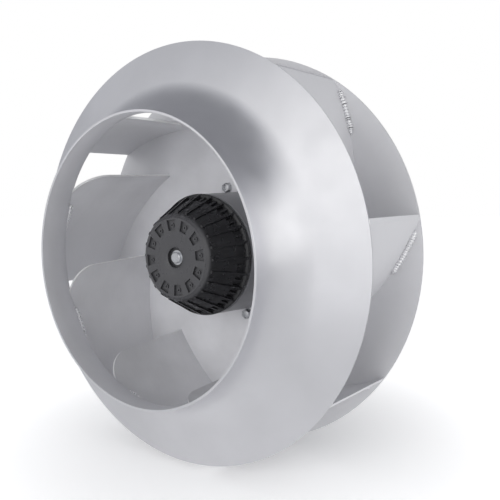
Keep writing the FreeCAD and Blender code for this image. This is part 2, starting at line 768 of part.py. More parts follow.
def make_bearing(name, rear):
    """Deep groove ball bearing: two grooved rings, the balls and their cage."""
    middle = f"({rear} + bearing_width / 2)"
    front = f"({rear} + bearing_width)"
    track = "(ball_radius + ball_clearance)"
    for label, near, far, turn in (("inner_ring", "shaft_radius", "inner_ring_radius", -1),
                                   ("outer_ring", "bearing_outer_radius", "outer_ring_bore", 1)):
        ring = new_body(f"{name}_bearing_{label}")
        half = f"sqrt({track}^2 - ({far} - ball_pitch)^2)"
        corners = [
            (near, front),
            (far, front),
            (far, f"({middle} + {half})", track, turn),
            (far, f"({middle} - {half})"),
            (far, rear),
            (near, rear),
        ]
        revolve(ring, side_profile(ring, "profile", corners))

    balls = new_body(f"{name}_bearing_balls", several=True)
    ball = balls.newObject("PartDesign::AdditiveSphere", f"{name}_ball")
    ball.AttachmentSupport = [(origin_feature(balls, "XZ_Plane"), "")]
    ball.MapMode = "FlatFace"
    ball.setExpression("AttachmentOffset.Base.x", link("ball_pitch"))
    ball.setExpression("AttachmentOffset.Base.z", link(middle))
    ball.setExpression("Radius", link("ball_radius"))
    polar(balls, [ball], "ball_count")

    cage = new_body(f"{name}_bearing_cage")
    disc(cage, "band", f"({middle} - cage_width / 2)", "cage_width", "cage_outer", "cage_inner")
    window = new_sketch(cage, "window", "YZ_Plane")
    draw_circle(window, "(ball_radius + cage_pocket_clearance)", f"-{middle}", "0")
    cut = feature(cage, "Pocket", window, Length="2 * cage_outer")
    cut.Reversed = True
    polar(cage, [cut], "ball_count")


def make_wave_spring():
    """Wavy washer that presses the rear bearing's outer ring: two wavy edges, a sheet between."""
    body = doc.addObject("Part::Feature", "bearing_wave_spring")
    body.Label = "bearing_wave_spring"
    waves = int(number("spring_waves"))
    lift = (number("spring_space") - number("spring_sheet")) / 2
    rest = -number(f"({REAR_BEARING} + bearing_width + spring_sheet)") - lift
    steps = waves * int(number("spring_points_per_wave"))
    edges = []
    for radius in (number("spring_inner"), number("spring_outer")):
        points = []
        for step in range(steps):
            turn = 2 * math.pi * step / steps
            points.append(Vector(radius * math.cos(turn), rest + lift * math.cos(waves * turn),
                                 radius * math.sin(turn)))
        curve = Part.BSplineCurve()
        curve.interpolate(points, PeriodicFlag=True)
        edges.append(curve.toShape())
    sheet_face = Part.makeRuledSurface(edges[0], edges[1])
    body.Shape = sheet_face.extrude(Vector(0, number("spring_sheet"), 0))
    bodies.append(body)


def make_motor_flange():
    """Die-cast flange with the tube that holds the bearings and the stator stack."""
    body = new_body("motor_flange")
    seat = "bearing_outer_radius"
    labyrinth_outer = "(drum_bore - labyrinth_gap)"
    labyrinth_inner = "(drum_bore - labyrinth_gap - labyrinth_wall)"
    shoulder = f"({STACK_REAR} - insulator_sheet)"
    revolve(body, side_profile(body, "profile", [
        (seat, TUBE_FRONT),
        ("tube_radius", TUBE_FRONT),
        ("tube_radius", shoulder),
        ("tube_shoulder", shoulder),
        ("tube_shoulder", FLANGE_FRONT),
        (labyrinth_inner, FLANGE_FRONT),
        (labyrinth_inner, f"({FLANGE_FRONT} + labyrinth_height)"),
        (labyrinth_outer, f"({FLANGE_FRONT} + labyrinth_height)"),
        (labyrinth_outer, FLANGE_FRONT),
        (FLANGE_RADIUS, FLANGE_FRONT),
        (FLANGE_RADIUS, FLANGE_REAR),
        (seat, FLANGE_REAR),
        (seat, REAR_SEAT),
        ("tube_bore", REAR_SEAT),
        ("tube_bore", FRONT_BEARING),
        (seat, FRONT_BEARING),
    ]))
    sketch = new_sketch(body, "screw_hole", "XZ_Plane", offset=f"({FLANGE_REAR} + joint_screw_grip)")
    draw_circle(sketch, "joint_screw_radius", *around(JOINT_CIRCLE, JOINT_ANGLE))
    hole = feature(body, "Pocket", sketch, Length="joint_screw_grip")
    polar(body, [hole], "joint_screw_count")


def draw_tooth(sketch):
    """Outline of one tooth with its shoe, rooted in the yoke."""
    neck = "(stack_radius - shoe_depth)"
    half = "(tooth_width / 2)"
    root = "(yoke_radius - tooth_root)"
    wing_x = "(stack_radius * sin(shoe_half_angle))"
    wing_z = "(stack_radius * cos(shoe_half_angle))"
    draw(sketch, [
        (f"-{half}", root),
        (f"-{half}", neck),
        (f"-{wing_x}", f"({wing_z} - shoe_tip)"),
        (f"-{wing_x}", wing_z, "stack_radius", -1),
        (wing_x, wing_z),
        (wing_x, f"({wing_z} - shoe_tip)"),
        (half, neck),
        (half, root),
    ])


def make_stator():
    """Laminated stack with teeth pointing outwards, insulating plates and a coil on each tooth."""
    pieces = (("stator_stack", STACK_REAR, "stack_length"),
              ("front_insulator", STACK_FRONT, "insulator_sheet"),
              ("rear_insulator", f"({STACK_REAR} - insulator_sheet)", "insulator_sheet"))
    for label, rear, length in pieces:
        body = new_body(label)
        disc(body, "yoke", rear, length, "yoke_radius", "tube_radius")
        tooth = new_sketch(body, "tooth", "XZ_Plane", offset=rear)
        draw_tooth(tooth)
        polar(body, [feature(body, "Pad", tooth, Length=length)], "slot_count")

    coils = new_body("stator_coils", several=True)
    inside_half = "(tooth_width / 2 + coil_clearance)"
    outside_half = f"({inside_half} + coil_side)"
    inside_rear = f"({STACK_REAR} - insulator_sheet)"
    inside_front = f"({STACK_FRONT} + insulator_sheet)"
    winding = new_sketch(coils, "winding", "XY_Plane", offset="coil_inner")
    for half, rear, front in (
            (outside_half, f"({inside_rear} - coil_end)", f"({inside_front} + coil_end)"),
            (inside_half, inside_rear, inside_front)):
        draw(winding, [
            (f"-{half}", f"-{rear}"),
            (half, f"-{rear}"),
            (half, f"-{front}"),
            (f"-{half}", f"-{front}"),
        ])
    polar(coils, [feature(coils, "Pad", winding, Length="coil_outer - coil_inner")], "slot_count")


def make_housing():
    """Electronics housing: finned pot with mounting bosses, cover recess and gland block."""
    body = new_body("electronics_housing")
    inner = "(housing_radius - housing_wall)"
    revolve(body, side_profile(body, "pot", [
        (inner, HOUSING_FRONT),
        (FLANGE_RADIUS, HOUSING_FRONT),
        (FLANGE_RADIUS, f"({HOUSING_FRONT} - housing_rim)"),
        ("housing_radius", f"({HOUSING_FRONT} - housing_rim)"),
        ("housing_radius", "housing_edge_chamfer"),
        ("(housing_radius - housing_edge_chamfer)", "0"),
        ("cover_recess_radius", "0"),
        ("cover_recess_radius", "cover_recess_depth"),
        ("cover_opening", "cover_recess_depth"),
        ("cover_opening", "housing_floor"),
        (inner, "housing_floor"),
    ]))

    mount_place = around(MOUNT_CIRCLE, "mount_angle")
    for name, radius, place, count, front in (
            ("boss", "mount_boss_radius", mount_place, "mount_count", "mount_boss_height"),
            ("post", "post_radius", ("0", POST_CIRCLE), "post_count", "board_ahead")):
        column = new_sketch(body, name, "XZ_Plane", offset="housing_floor - column_root")
        draw_circle(column, radius, *place)
        column_pad = feature(body, "Pad", column, Length=f"{front} - housing_floor + column_root")
        polar(body, [column_pad], count)

    # A group of fins between each two screws, but none at the bottom, where the cables enter
    for group in range(1, int(number("joint_screw_count"))):
        middle = f"{group} * 360 / joint_screw_count"
        fin = side_profile(body, f"fin_{group}", [
            ("(housing_radius - fin_root)", f"({HOUSING_FRONT} - housing_rim)"),
            ("(housing_radius + fin_height)", f"({HOUSING_FRONT} - housing_rim)"),
            ("(housing_radius + fin_height)", "(fin_margin + fin_height)"),
            ("housing_radius", "fin_margin"),
            ("(housing_radius - fin_root)", "fin_margin"),
        ], turn=f"90 + {middle} - fin_group_angle / 2")
        fin_pad = feature(body, "Pad", fin, Length="fin_width")
        fin_pad.Midplane = True
        polar(body, [fin_pad], "fins_per_group", "fin_group_angle")

    block = new_sketch(body, "gland_block", "XY_Plane", offset=f"-{GLAND_SEAT}")
    block_rear = "(gland_ahead - gland_block_length / 2)"
    block_front = "(gland_ahead + gland_block_length / 2)"
    half = "(gland_block_width / 2)"
    draw(block, [(f"-{half}", f"-{block_front}"), (half, f"-{block_front}"),
                 (half, f"-{block_rear}"), (f"-{half}", f"-{block_rear}")])
    block_height = "(gland_block_depth + housing_wall + gland_block_root)"
    feature(body, "Pad", block, Length=block_height)
    entries = new_sketch(body, "entries", "XY_Plane", offset=f"-{GLAND_SEAT}")
    for x, y in GLAND_PLACES:
        draw_circle(entries, "gland_thread_radius", x, y)
    cut_ahead(body, entries, f"({block_height} + gland_block_root)")

    holes = (
        ("mount_hole", "mount_hole_radius", mount_place, "mount_count", "0", "mount_hole_depth"),
        ("cover_hole", "cover_screw_radius", ("0", "cover_screw_circle"), "cover_screw_count",
         "cover_recess_depth", "housing_floor - cover_recess_depth"),
        ("post_hole", "post_screw_radius", ("0", POST_CIRCLE), "post_count",
         "(board_ahead - post_screw_depth)", "post_screw_depth"),
        ("joint_hole", "(joint_screw_radius + joint_hole_clearance)",
         around(JOINT_CIRCLE, JOINT_ANGLE), "joint_screw_count",
         f"({HOUSING_FRONT} - housing_rim)", "housing_rim"),
    )
    for name, radius, place, count, rear, depth in holes:
        sketch = new_sketch(body, name, "XZ_Plane", offset=rear)
        draw_circle(sketch, radius, *place)
        polar(body, [cut_ahead(body, sketch, depth)], count)


def make_housing_seal_and_screws():
    """Flat seal between flange and housing, and the socket screws that clamp it."""
    seal = new_body("housing_gasket")
    x, z = around(JOINT_CIRCLE, JOINT_ANGLE)
    disc(seal, "ring", HOUSING_FRONT, "gasket_sheet", FLANGE_RADIUS, "(housing_radius - housing_wall)")
    hole = new_sketch(seal, "hole", "XZ_Plane", offset=FLANGE_REAR)
    draw_circle(hole, "(joint_screw_radius + joint_hole_clearance)", x, z)
    polar(seal, [feature(seal, "Pocket", hole, Length="gasket_sheet")], "joint_screw_count")

    screws = new_body("housing_screws", several=True)
    seat = f"({HOUSING_FRONT} - housing_rim)"
    head = new_sketch(screws, "head", "XZ_Plane", offset=f"({seat} - joint_screw_head_height)")
    draw_circle(head, "joint_screw_head_radius", x, z)
    head_pad = feature(screws, "Pad", head, Length="joint_screw_head_height")
    shank = new_sketch(screws, "shank", "XZ_Plane", offset=seat)
    draw_circle(shank, "joint_screw_radius", x, z)
    length = f"({FLANGE_REAR} + joint_screw_grip - {seat})"
    shank_pad = feature(screws, "Pad", shank, Length=length)
    socket = new_sketch(screws, "socket", "XZ_Plane", offset=f"({seat} - joint_screw_head_height)")
    draw_hexagon(socket, "joint_socket_across", x, z)
    socket_cut = cut_ahead(screws, socket, "joint_socket_depth")
    polar(screws, [head_pad, shank_pad, socket_cut], "joint_screw_count")


def make_terminal_cover():
    """Round cover over the terminals, its flat seal and its screws."""
    seat = "(cover_recess_depth - cover_seal_sheet)"
    rear = f"({seat} - cover_sheet)"
    seal = new_body("cover_seal")
    disc(seal, "ring", seat, "cover_seal_sheet", "cover_radius", "cover_opening")
    cover = new_body("terminal_cover")
    disc(cover, "disc", rear, "cover_sheet", "cover_radius")
    dish = new_sketch(cover, "dish", "XZ_Plane", offset=rear)
    draw_circle(dish, "cover_dish_radius")
    cut_ahead(cover, dish, "cover_dish_depth")
    for body, face, sheet_depth in ((seal, seat, "cover_seal_sheet"), (cover, rear, "cover_sheet")):
        hole = new_sketch(body, "hole", "XZ_Plane", offset=face)
        draw_circle(hole, "cover_screw_radius", "0", "cover_screw_circle")
        polar(body, [cut_ahead(body, hole, sheet_depth)], "cover_screw_count")

    screws = new_body("cover_screws", several=True)
    head = new_sketch(screws, "head", "XZ_Plane", offset=f"({rear} - cover_screw_head_height)")
    draw_circle(head, "cover_screw_head_radius", "0", "cover_screw_circle")
    head_pad = feature(screws, "Pad", head, Length="cover_screw_head_height")
    shank = new_sketch(screws, "shank", "XZ_Plane", offset=rear)
    draw_circle(shank, "cover_screw_radius", "0", "cover_screw_circle")
    shank_pad = feature(screws, "Pad", shank, Length="cover_screw_length")
    polar(screws, [head_pad, shank_pad], "cover_screw_count")


def make_electronics():
    """Circuit board on its posts with capacitors, power module and terminal block."""
    board = new_body("circuit_board")
    disc(board, "disc", "board_ahead", "board_sheet", BOARD_RADIUS)
    hole = new_sketch(board, "hole", "XZ_Plane", offset="board_ahead")
    draw_circle(hole, "post_screw_radius", "0", POST_CIRCLE)
    polar(board, [cut_ahead(board, hole, "board_sheet")], "post_count")

    screws = new_body("board_screws", several=True)
    shank = new_sketch(screws, "shank", "XZ_Plane", offset="(board_ahead - post_screw_depth)")
    draw_circle(shank, "post_screw_radius", "0", POST_CIRCLE)
    shank_pad = feature(screws, "Pad", shank, Length="post_screw_depth + board_sheet")
    head = new_sketch(screws, "head", "XZ_Plane", offset=BOARD_FRONT)
    draw_circle(head, "post_screw_head_radius", "0", POST_CIRCLE)
    head_pad = feature(screws, "Pad", head, Length="post_screw_head_height")
    polar(screws, [shank_pad, head_pad], "post_count")

    capacitors = new_body("capacitors", several=True)
    can = new_sketch(capacitors, "can", "XZ_Plane", offset="(board_ahead - capacitor_height)")
    draw_circle(can, "capacitor_radius", "0", CAPACITOR_CIRCLE)
    polar(capacitors, [feature(capacitors, "Pad", can, Length="capacitor_height")], "capacitor_count")

    module = new_body("power_module")
    outline = new_sketch(module, "outline", "XZ_Plane", offset=BOARD_FRONT)
    near = "(module_offset - module_width / 2)"
    far = "(module_offset + module_width / 2)"
    half = "(module_length / 2)"
    draw(outline, [(near, f"-{half}"), (far, f"-{half}"), (far, half), (near, half)])
    feature(module, "Pad", outline, Length=f"{FLANGE_REAR} - {BOARD_FRONT}")

    block = new_body("terminal_block")
    outline = new_sketch(block, "outline", "XZ_Plane", offset="(board_ahead - terminal_height)")
    half_length = "(terminal_length / 2)"
    half_width = "(terminal_width / 2)"
    draw(outline, [(f"-{half_length}", f"-{half_width}"), (half_length, f"-{half_width}"),
                   (half_length, half_width), (f"-{half_length}", half_width)])
    feature(block, "Pad", outline, Length="terminal_height")
    entry = new_sketch(block, "entry", "XZ_Plane", offset="(board_ahead - terminal_height)")
    draw_circle(entry, "terminal_hole_radius", "-terminal_pitch * (terminal_count - 1) / 2")
    first = cut_ahead(block, entry, "terminal_hole_depth")
    row = block.newObject("PartDesign::LinearPattern", "terminal_row")
    row.Originals = [first]
    row.Direction = (origin_feature(block, "X_Axis"), [""])
    row.setExpression("Length", link("terminal_pitch * (terminal_count - 1)"))
    row.setExpression("Occurrences", link("terminal_count"))
    block.Tip = row


def make_glands():
    """Two cable glands, each a hexagon body, a rubber sleeve and a dome nut, all pointing down."""
    hex_end = f"({GLAND_SEAT} + gland_hex_height)"
    neck_end = f"({hex_end} + gland_neck_height)"
    nut_end = f"({hex_end} + gland_nut_height)"

    def at_both(body, name, below, *radii):
        """A sketch of circles at both cable entries, at a distance below the fan axis."""
        sketch = new_sketch(body, name, "XY_Plane", offset=f"-{below}")
        for x, y in GLAND_PLACES:
            for radius in radii:
                draw_circle(sketch, radius, x, y)
        return sketch

    glands = new_body("gland_bodies", several=True)
    collar = new_sketch(glands, "collar", "XY_Plane", offset=f"-{hex_end}")
    for x, y in GLAND_PLACES:
        draw_hexagon(collar, "gland_across", x, y)
    feature(glands, "Pad", collar, Length="gland_hex_height")
    thread = at_both(glands, "thread", GLAND_SEAT, "gland_thread_radius")
    feature(glands, "Pad", thread, Length="gland_thread_length")
    neck = at_both(glands, "neck", neck_end, "gland_neck_radius")
    feature(glands, "Pad", neck, Length="gland_neck_height")
    cut_ahead(glands, at_both(glands, "bore", neck_end, "gland_bore"),
              "gland_neck_height + gland_hex_height + gland_thread_length")

    seals = new_body("gland_seals", several=True)
    sleeve = at_both(seals, "sleeve", neck_end, "gland_bore", "gland_seal_bore")
    feature(seals, "Pad", sleeve, Length="gland_seal_height")

    nuts = new_body("gland_nuts", several=True)
    feature(nuts, "Pad", at_both(nuts, "shell", nut_end, "gland_nut_radius"), Length="gland_nut_height")
    cut_ahead(nuts, at_both(nuts, "opening", nut_end, "gland_bore"), "gland_nut_top")
    cut_ahead(nuts, at_both(nuts, "inside", f"({nut_end} - gland_nut_top)",
                            "(gland_neck_radius + gland_nut_clearance)"),
              "gland_nut_height - gland_nut_top")


make_front_shroud()
make_backplate()
for blade_index in range(int(number("blade_count"))):
    make_blade_trims(make_blade(blade_index))
make_backplate_screws()
make_rotor_cap()
make_rotor_drum()
make_magnets()
make_shaft()
make_bearing("front", FRONT_BEARING)
make_bearing("rear", REAR_BEARING)
make_wave_spring()
make_motor_flange()
make_stator()
make_housing()
make_housing_seal_and_screws()
make_terminal_cover()
make_electronics()
make_glands()

doc.recompute()
failed = [item.Label for item in doc.Objects if "Invalid" in item.State or "Error" in item.State]
if failed:
    raise RuntimeError(f"These objects failed: {failed}")

os.makedirs("parts", exist_ok=True)
for body in bodies:
    shape = body.Shape
    if shape.isNull() or not shape.isValid():
        raise RuntimeError(f"{body.Label} has no valid shape")
    shape.exportStep(f"parts/{body.Label}.step")
    print(f"{body.Label:28s} solids {len(shape.Solids):2d}  volume {shape.Volume / 1000:9.2f} cm3")
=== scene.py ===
"""Looks of a plug fan: a welded wheel of sheet aluminium on a black external-rotor motor.

All lengths are metres in the model's own frame. The fan axis is Y and the inlet faces -Y, Z is up,
and the origin is the centre of the motor's rear face. "Ahead" is the distance from that face
towards the inlet, and angles round the axis are clockwise from the top as seen from the inlet.
"""
import math
import random

import bmesh
import bpy
from mathutils import Matrix, Vector


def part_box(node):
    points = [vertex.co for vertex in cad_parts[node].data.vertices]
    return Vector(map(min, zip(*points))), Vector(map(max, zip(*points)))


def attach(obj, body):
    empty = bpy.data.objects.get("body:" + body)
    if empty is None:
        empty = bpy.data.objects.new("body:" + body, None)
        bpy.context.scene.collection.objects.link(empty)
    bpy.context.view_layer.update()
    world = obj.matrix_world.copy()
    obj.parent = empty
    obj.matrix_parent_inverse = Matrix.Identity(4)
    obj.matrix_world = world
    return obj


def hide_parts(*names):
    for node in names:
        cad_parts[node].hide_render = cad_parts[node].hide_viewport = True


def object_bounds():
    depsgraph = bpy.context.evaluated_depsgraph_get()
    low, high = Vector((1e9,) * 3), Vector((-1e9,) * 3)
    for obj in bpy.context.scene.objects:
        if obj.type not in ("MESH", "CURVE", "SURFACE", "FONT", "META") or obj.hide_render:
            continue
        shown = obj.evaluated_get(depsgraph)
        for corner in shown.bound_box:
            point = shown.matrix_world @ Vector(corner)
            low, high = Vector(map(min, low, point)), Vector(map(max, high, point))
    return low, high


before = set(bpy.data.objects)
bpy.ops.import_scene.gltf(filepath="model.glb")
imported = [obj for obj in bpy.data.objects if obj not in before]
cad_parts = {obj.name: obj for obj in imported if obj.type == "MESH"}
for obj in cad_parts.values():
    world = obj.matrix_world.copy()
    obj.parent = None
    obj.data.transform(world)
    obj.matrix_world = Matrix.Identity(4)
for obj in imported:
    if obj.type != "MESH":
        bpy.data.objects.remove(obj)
CAD_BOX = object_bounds()

bl_info = {
    "name": "Plug fan",
    "version": (1, 0, 0),
    "blender": (4, 5, 0),
    "location": "View3D > Sidebar > Plug fan",
    "description": "Dresses a free-running centrifugal fan and sets up its studio",
    "category": "Object",
}

WHEEL = "impeller"
MOTOR = "motor"
MM = 0.001
SHROUD_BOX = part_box("front_shroud")
PLATE_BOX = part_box("backplate")

# Corners sharper than these angles, in degrees, stay sharp
MADE_CORNER = 35
SHEET_CORNER = 30
CASTING_CORNER = 28
BEAD_CORNER = 60

# Vertices closer than these distances are one
MADE_MERGE = 0.001 * MM
COPY_MERGE = 0.002 * MM

# Fineness of the made meshes
SPIN_STEPS = 240
ARC_STEPS = 28
BEAD_STEPS = 200
BEAD_SEGMENTS = 10
SHANK_SEGMENTS = 24

# Unevenness of a hand-laid bead, as shares of its ripple pitch and of its radius
BEAD_SEED = 8
DROP_LENGTHS = (0.75, 1.3)
DROP_SIZES = (0.82, 1.12)
DROP_VALLEY = 0.62
DROP_CREST = 0.42
END_SHARE = 0.05


class WheelSizes(bpy.types.PropertyGroup):
    """Sizes of the wheel that the looks are built from."""
    throat_radius: bpy.props.FloatProperty(
        name="Throat radius", description="Outside of the straight throat", default=0.1875,
        unit="LENGTH")
    throat_straight: bpy.props.FloatProperty(
        name="Throat length", description="Straight stretch ahead of the flare", default=0.0085,
        unit="LENGTH")
    flare_radius: bpy.props.FloatProperty(
        name="Flare radius", description="Radius of the flare's outer face", default=0.0588,
        unit="LENGTH")
    cone_angle: bpy.props.FloatProperty(
        name="Cone angle", description="Slope of the skirt from the fan axis",
        default=math.radians(75), subtype="ANGLE")
    rim_radius: bpy.props.FloatProperty(
        name="Rim radius", description="Outer edge of the skirt", default=SHROUD_BOX[1].x,
        unit="LENGTH")
    sheet: bpy.props.FloatProperty(
        name="Sheet", description="Thickness of the aluminium sheet", default=0.003, unit="LENGTH")
    broken_edge: bpy.props.FloatProperty(
        name="Broken edge", description="Chamfer on the shroud's cut edges", default=0.0003,
        unit="LENGTH")
    outlet_width: bpy.props.FloatProperty(
        name="Outlet width", description="From the backplate to the skirt's edge", default=0.141,
        unit="LENGTH")
    blade_count: bpy.props.IntProperty(
        name="Blades", description="Number of blades", default=8, min=2)
    blade_camber: bpy.props.FloatProperty(
        name="Blade camber", description="Radius of the blade's inner face", default=0.335,
        unit="LENGTH")
    blade_inlet_angle: bpy.props.FloatProperty(
        name="Inlet angle", description="Between blade and circle at the leading edge",
        default=math.radians(18.6), subtype="ANGLE")
    blade_first_angle: bpy.props.FloatProperty(
        name="First blade", description="Place of the first leading edge",
        default=math.radians(40.3), subtype="ANGLE")
    blade_lean: bpy.props.FloatProperty(
        name="Lean", description="Turn of a blade's section from the backplate to the rim",
        default=math.radians(2.4), subtype="ANGLE")
    plate_bead_start: bpy.props.FloatProperty(
        name="Plate bead start", description="Radius where a bead on the backplate starts",
        default=0.253, unit="LENGTH")
    plate_bead_end: bpy.props.FloatProperty(
        name="Plate bead end", description="Radius where a bead on the backplate ends",
        default=0.285, unit="LENGTH")
    shroud_bead_start: bpy.props.FloatProperty(
        name="Shroud bead start", description="Radius where a bead inside the shroud starts",
        default=0.206, unit="LENGTH")
    shroud_bead_end: bpy.props.FloatProperty(
        name="Shroud bead end", description="Radius where a bead inside the shroud ends",
        default=0.247, unit="LENGTH")
    bead_radius: bpy.props.FloatProperty(
        name="Bead radius", description="Radius of a weld bead", default=0.0040, unit="LENGTH")
    bead_ripple: bpy.props.FloatProperty(
        name="Bead ripple", description="Pitch of the ripples of a bead", default=0.0034,
        unit="LENGTH")
    bead_proud: bpy.props.FloatProperty(
        name="Bead height", description="Height of a bead's middle over the corner, in bead radii",
        default=0.5, min=0, max=1)


class ScrewSizes(bpy.types.PropertyGroup):
    """Sizes of the hexagon screws that hold the wheel on the rotor."""
    count: bpy.props.IntProperty(
        name="Screws", description="Number of screws in the backplate", default=4, min=1)
    circle: bpy.props.FloatProperty(
        name="Screw circle", description="Radius that the screws stand at", default=0.0995,
        unit="LENGTH")
    first_angle: bpy.props.FloatProperty(
        name="First screw", description="Place of the first screw", default=math.radians(-11),
        subtype="ANGLE")
    across_flats: bpy.props.FloatProperty(
        name="Across flats", description="Width of a head from flat to flat", default=0.013,
        unit="LENGTH")
    head_height: bpy.props.FloatProperty(
        name="Head height", description="Height of a head over its washer", default=0.0053,
        unit="LENGTH")
    chamfer: bpy.props.FloatProperty(
        name="Chamfer", description="Broken edge on top of a head", default=0.0006, unit="LENGTH")
    shank: bpy.props.FloatProperty(
        name="Shank", description="Diameter of the shank", default=0.008, unit="LENGTH")


class Colours(bpy.types.PropertyGroup):
    """Colours of the finishes."""
    spun: bpy.props.FloatVectorProperty(
        name="Spun aluminium", description="Colour of the shroud", default=(0.75, 0.75, 0.775),
        size=3, subtype="COLOR", min=0, max=1)
    sheet: bpy.props.FloatVectorProperty(
        name="Rolled aluminium", description="Colour of blades and backplate",
        default=(0.735, 0.735, 0.755), size=3, subtype="COLOR", min=0, max=1)
    black: bpy.props.FloatVectorProperty(
        name="Black coating", description="Colour of the coated castings",
        default=(0.018, 0.018, 0.020), size=3, subtype="COLOR", min=0, max=1)
    steel: bpy.props.FloatVectorProperty(
        name="Plated steel", description="Colour of screws and washers", default=(0.66, 0.67, 0.69),
        size=3, subtype="COLOR", min=0, max=1)


class Studio(bpy.types.PropertyGroup):
    """Camera, floor and lamps."""
    camera_place: bpy.props.FloatVectorProperty(
        name="Camera", description="Place of the camera", default=(0.524, -0.790, 0.075), size=3,
        subtype="TRANSLATION", unit="LENGTH")
    camera_view: bpy.props.FloatVectorProperty(
        name="View", description="Direction that the camera looks in",
        default=(-0.5746, 0.8141, -0.084), size=3, subtype="DIRECTION")
    lens: bpy.props.FloatProperty(
        name="Lens", description="Focal length in mm, for a sensor 36 mm wide", default=40.76)
    floor_radius: bpy.props.FloatProperty(
        name="Floor radius", description="Radius of the paper floor", default=14, unit="LENGTH")
    # The shadow sizes place a painted shadow: the floor's glow to the camera is dimmed near the
    # fan.
    shadow_ahead: bpy.props.FloatProperty(
        name="Shadow ahead", description="Middle of the fan's shadow, ahead of the motor's rear",
        default=0.09, unit="LENGTH")
    shadow_start: bpy.props.FloatProperty(
        name="Shadow start", description="Distance up to which the shadow is deepest", default=0.08,
        unit="LENGTH")
    shadow_end: bpy.props.FloatProperty(
        name="Shadow end", description="Distance where the floor is fully white", default=0.42,
        unit="LENGTH")
    side_power: bpy.props.FloatProperty(
        name="Side lamp", description="Power of the lamp at the right", default=2, unit="POWER")
    front_power: bpy.props.FloatProperty(
        name="Front lamp", description="Power of the lamp at the front", default=23, unit="POWER")


def sizes():
    return bpy.context.scene.plug_fan_sizes


def colours():
    return bpy.context.scene.plug_fan_colours


# Places on the wheel

def plate_front():
    """Distance ahead of the backplate's front face."""
    return -PLATE_BOX[0].y


def rim_ahead():
    return plate_front() + sizes().outlet_width


def flare_end_radius():
    s = sizes()
    return s.throat_radius + s.flare_radius * (1 - math.cos(s.cone_angle))


def flare_start_ahead():
    s = sizes()
    cone_depth = (s.rim_radius - flare_end_radius()) / math.tan(s.cone_angle)
    return rim_ahead() + cone_depth + s.flare_radius * math.sin(s.cone_angle)


def around(radius, angle, ahead):
    """Point at a radius and an angle round the axis."""
    return Vector((radius * math.sin(angle), -ahead, radius * math.cos(angle)))


def shroud_inside_ahead(radius):
    """Distance ahead of the shroud's inner face at a radius outside the throat."""
    s = sizes()
    turn_radius = s.flare_radius + s.sheet
    turn_centre = s.throat_radius + s.flare_radius
    end = turn_centre - turn_radius * math.cos(s.cone_angle)
    if radius < end:
        lift = math.acos(min(1, (turn_centre - radius) / turn_radius))
        return flare_start_ahead() - turn_radius * math.sin(lift)
    start = flare_start_ahead() - turn_radius * math.sin(s.cone_angle)
    return start - (radius - end) / math.tan(s.cone_angle)


def camber_centre():
    """Radius and angle offset of the blade's camber centre, in the blade's own plane."""
    s = sizes()
    eye = s.throat_radius - s.sheet
    x = eye - s.blade_camber * math.cos(s.blade_inlet_angle)
    return Vector((x, s.blade_camber * math.sin(s.blade_inlet_angle)))


def sweep_at(radius, camber):
    """Angle at the camber centre where a face of that camber radius crosses a wheel radius."""
    centre = camber_centre()
    offset = centre.length
    inside = math.acos((offset ** 2 + camber ** 2 - radius ** 2) / (2 * offset * camber))
    return inside + math.atan2(-centre.y, -centre.x)


def blade_point(index, sweep, camber, ahead):
    """Point on a blade's face, at an angle round its camber centre."""
    s = sizes()
    centre = camber_centre()
    x = centre.x + camber * math.cos(sweep)
    z = centre.y + camber * math.sin(sweep)
    turn = s.blade_first_angle - math.pi / 2 + index * 2 * math.pi / s.blade_count
    turn -= s.blade_lean * (ahead - plate_front()) / s.outlet_width
    cosine, sine = math.cos(turn), math.sin(turn)
    return Vector((x * cosine + z * sine, -ahead, z * cosine - x * sine))


# Materials

def new_material(name, colour, metallic, roughness):
    """A material with its main shader, and the constants that it has all over."""
    material = bpy.data.materials.new(name)
    material.use_nodes = True
    shader = material.node_tree.nodes["Principled BSDF"]
    shader.inputs["Base Color"].default_value = (*colour, 1)
    shader.inputs["Metallic"].default_value = metallic
    shader.inputs["Roughness"].default_value = roughness
    return material, material.node_tree.nodes, material.node_tree.links, shader


def feed(links, value, socket):
    """Give a socket a number, or link it to another socket."""
    if isinstance(value, (int, float)):
        socket.default_value = value
    else:
        links.new(value, socket)


def noise(nodes, links, vector, scale, detail):
    texture = nodes.new("ShaderNodeTexNoise")
    texture.inputs["Scale"].default_value = scale
    texture.inputs["Detail"].default_value = detail
    links.new(vector, texture.inputs["Vector"])
    return texture.outputs["Fac"]


def spread(nodes, links, value, low, high, from_low=0.35, from_high=0.65):
    """Map a value to a range. A noise stays mostly within the limits given here."""
    node = nodes.new("ShaderNodeMapRange")
    node.inputs["From Min"].default_value = from_low
    node.inputs["From Max"].default_value = from_high
    node.inputs["To Min"].default_value = low
    node.inputs["To Max"].default_value = high
    links.new(value, node.inputs["Value"])
    return node.outputs["Result"]


def tint(nodes, links, value, dark, light):
    """Blend two colours by a value."""
    mix = nodes.new("ShaderNodeMix")
    mix.data_type = "RGBA"
    mix.inputs["A"].default_value = (*dark, 1)
    mix.inputs["B"].default_value = (*light, 1)
    links.new(value, mix.inputs["Factor"])
    return mix.outputs["Result"]


def bump(nodes, links, shader, height, strength, distance, under=None):
    node = nodes.new("ShaderNodeBump")
    node.inputs["Strength"].default_value = strength
    node.inputs["Distance"].default_value = distance
    links.new(height, node.inputs["Height"])
    if under:
        links.new(under, node.inputs["Normal"])
    links.new(node.outputs["Normal"], shader.inputs["Normal"])
    return node.outputs["Normal"]


def object_place(nodes):
    return nodes.new("ShaderNodeTexCoord").outputs["Object"]


def stretched(nodes, links, vector, scale, turn):
    """Coordinates turned about the fan axis and stretched, for a grain with a direction."""
    node = nodes.new("ShaderNodeMapping")
    node.inputs["Rotation"].default_value = (0, turn, 0)
    node.inputs["Scale"].default_value = scale
    links.new(vector, node.inputs["Vector"])
    return node.outputs["Vector"]


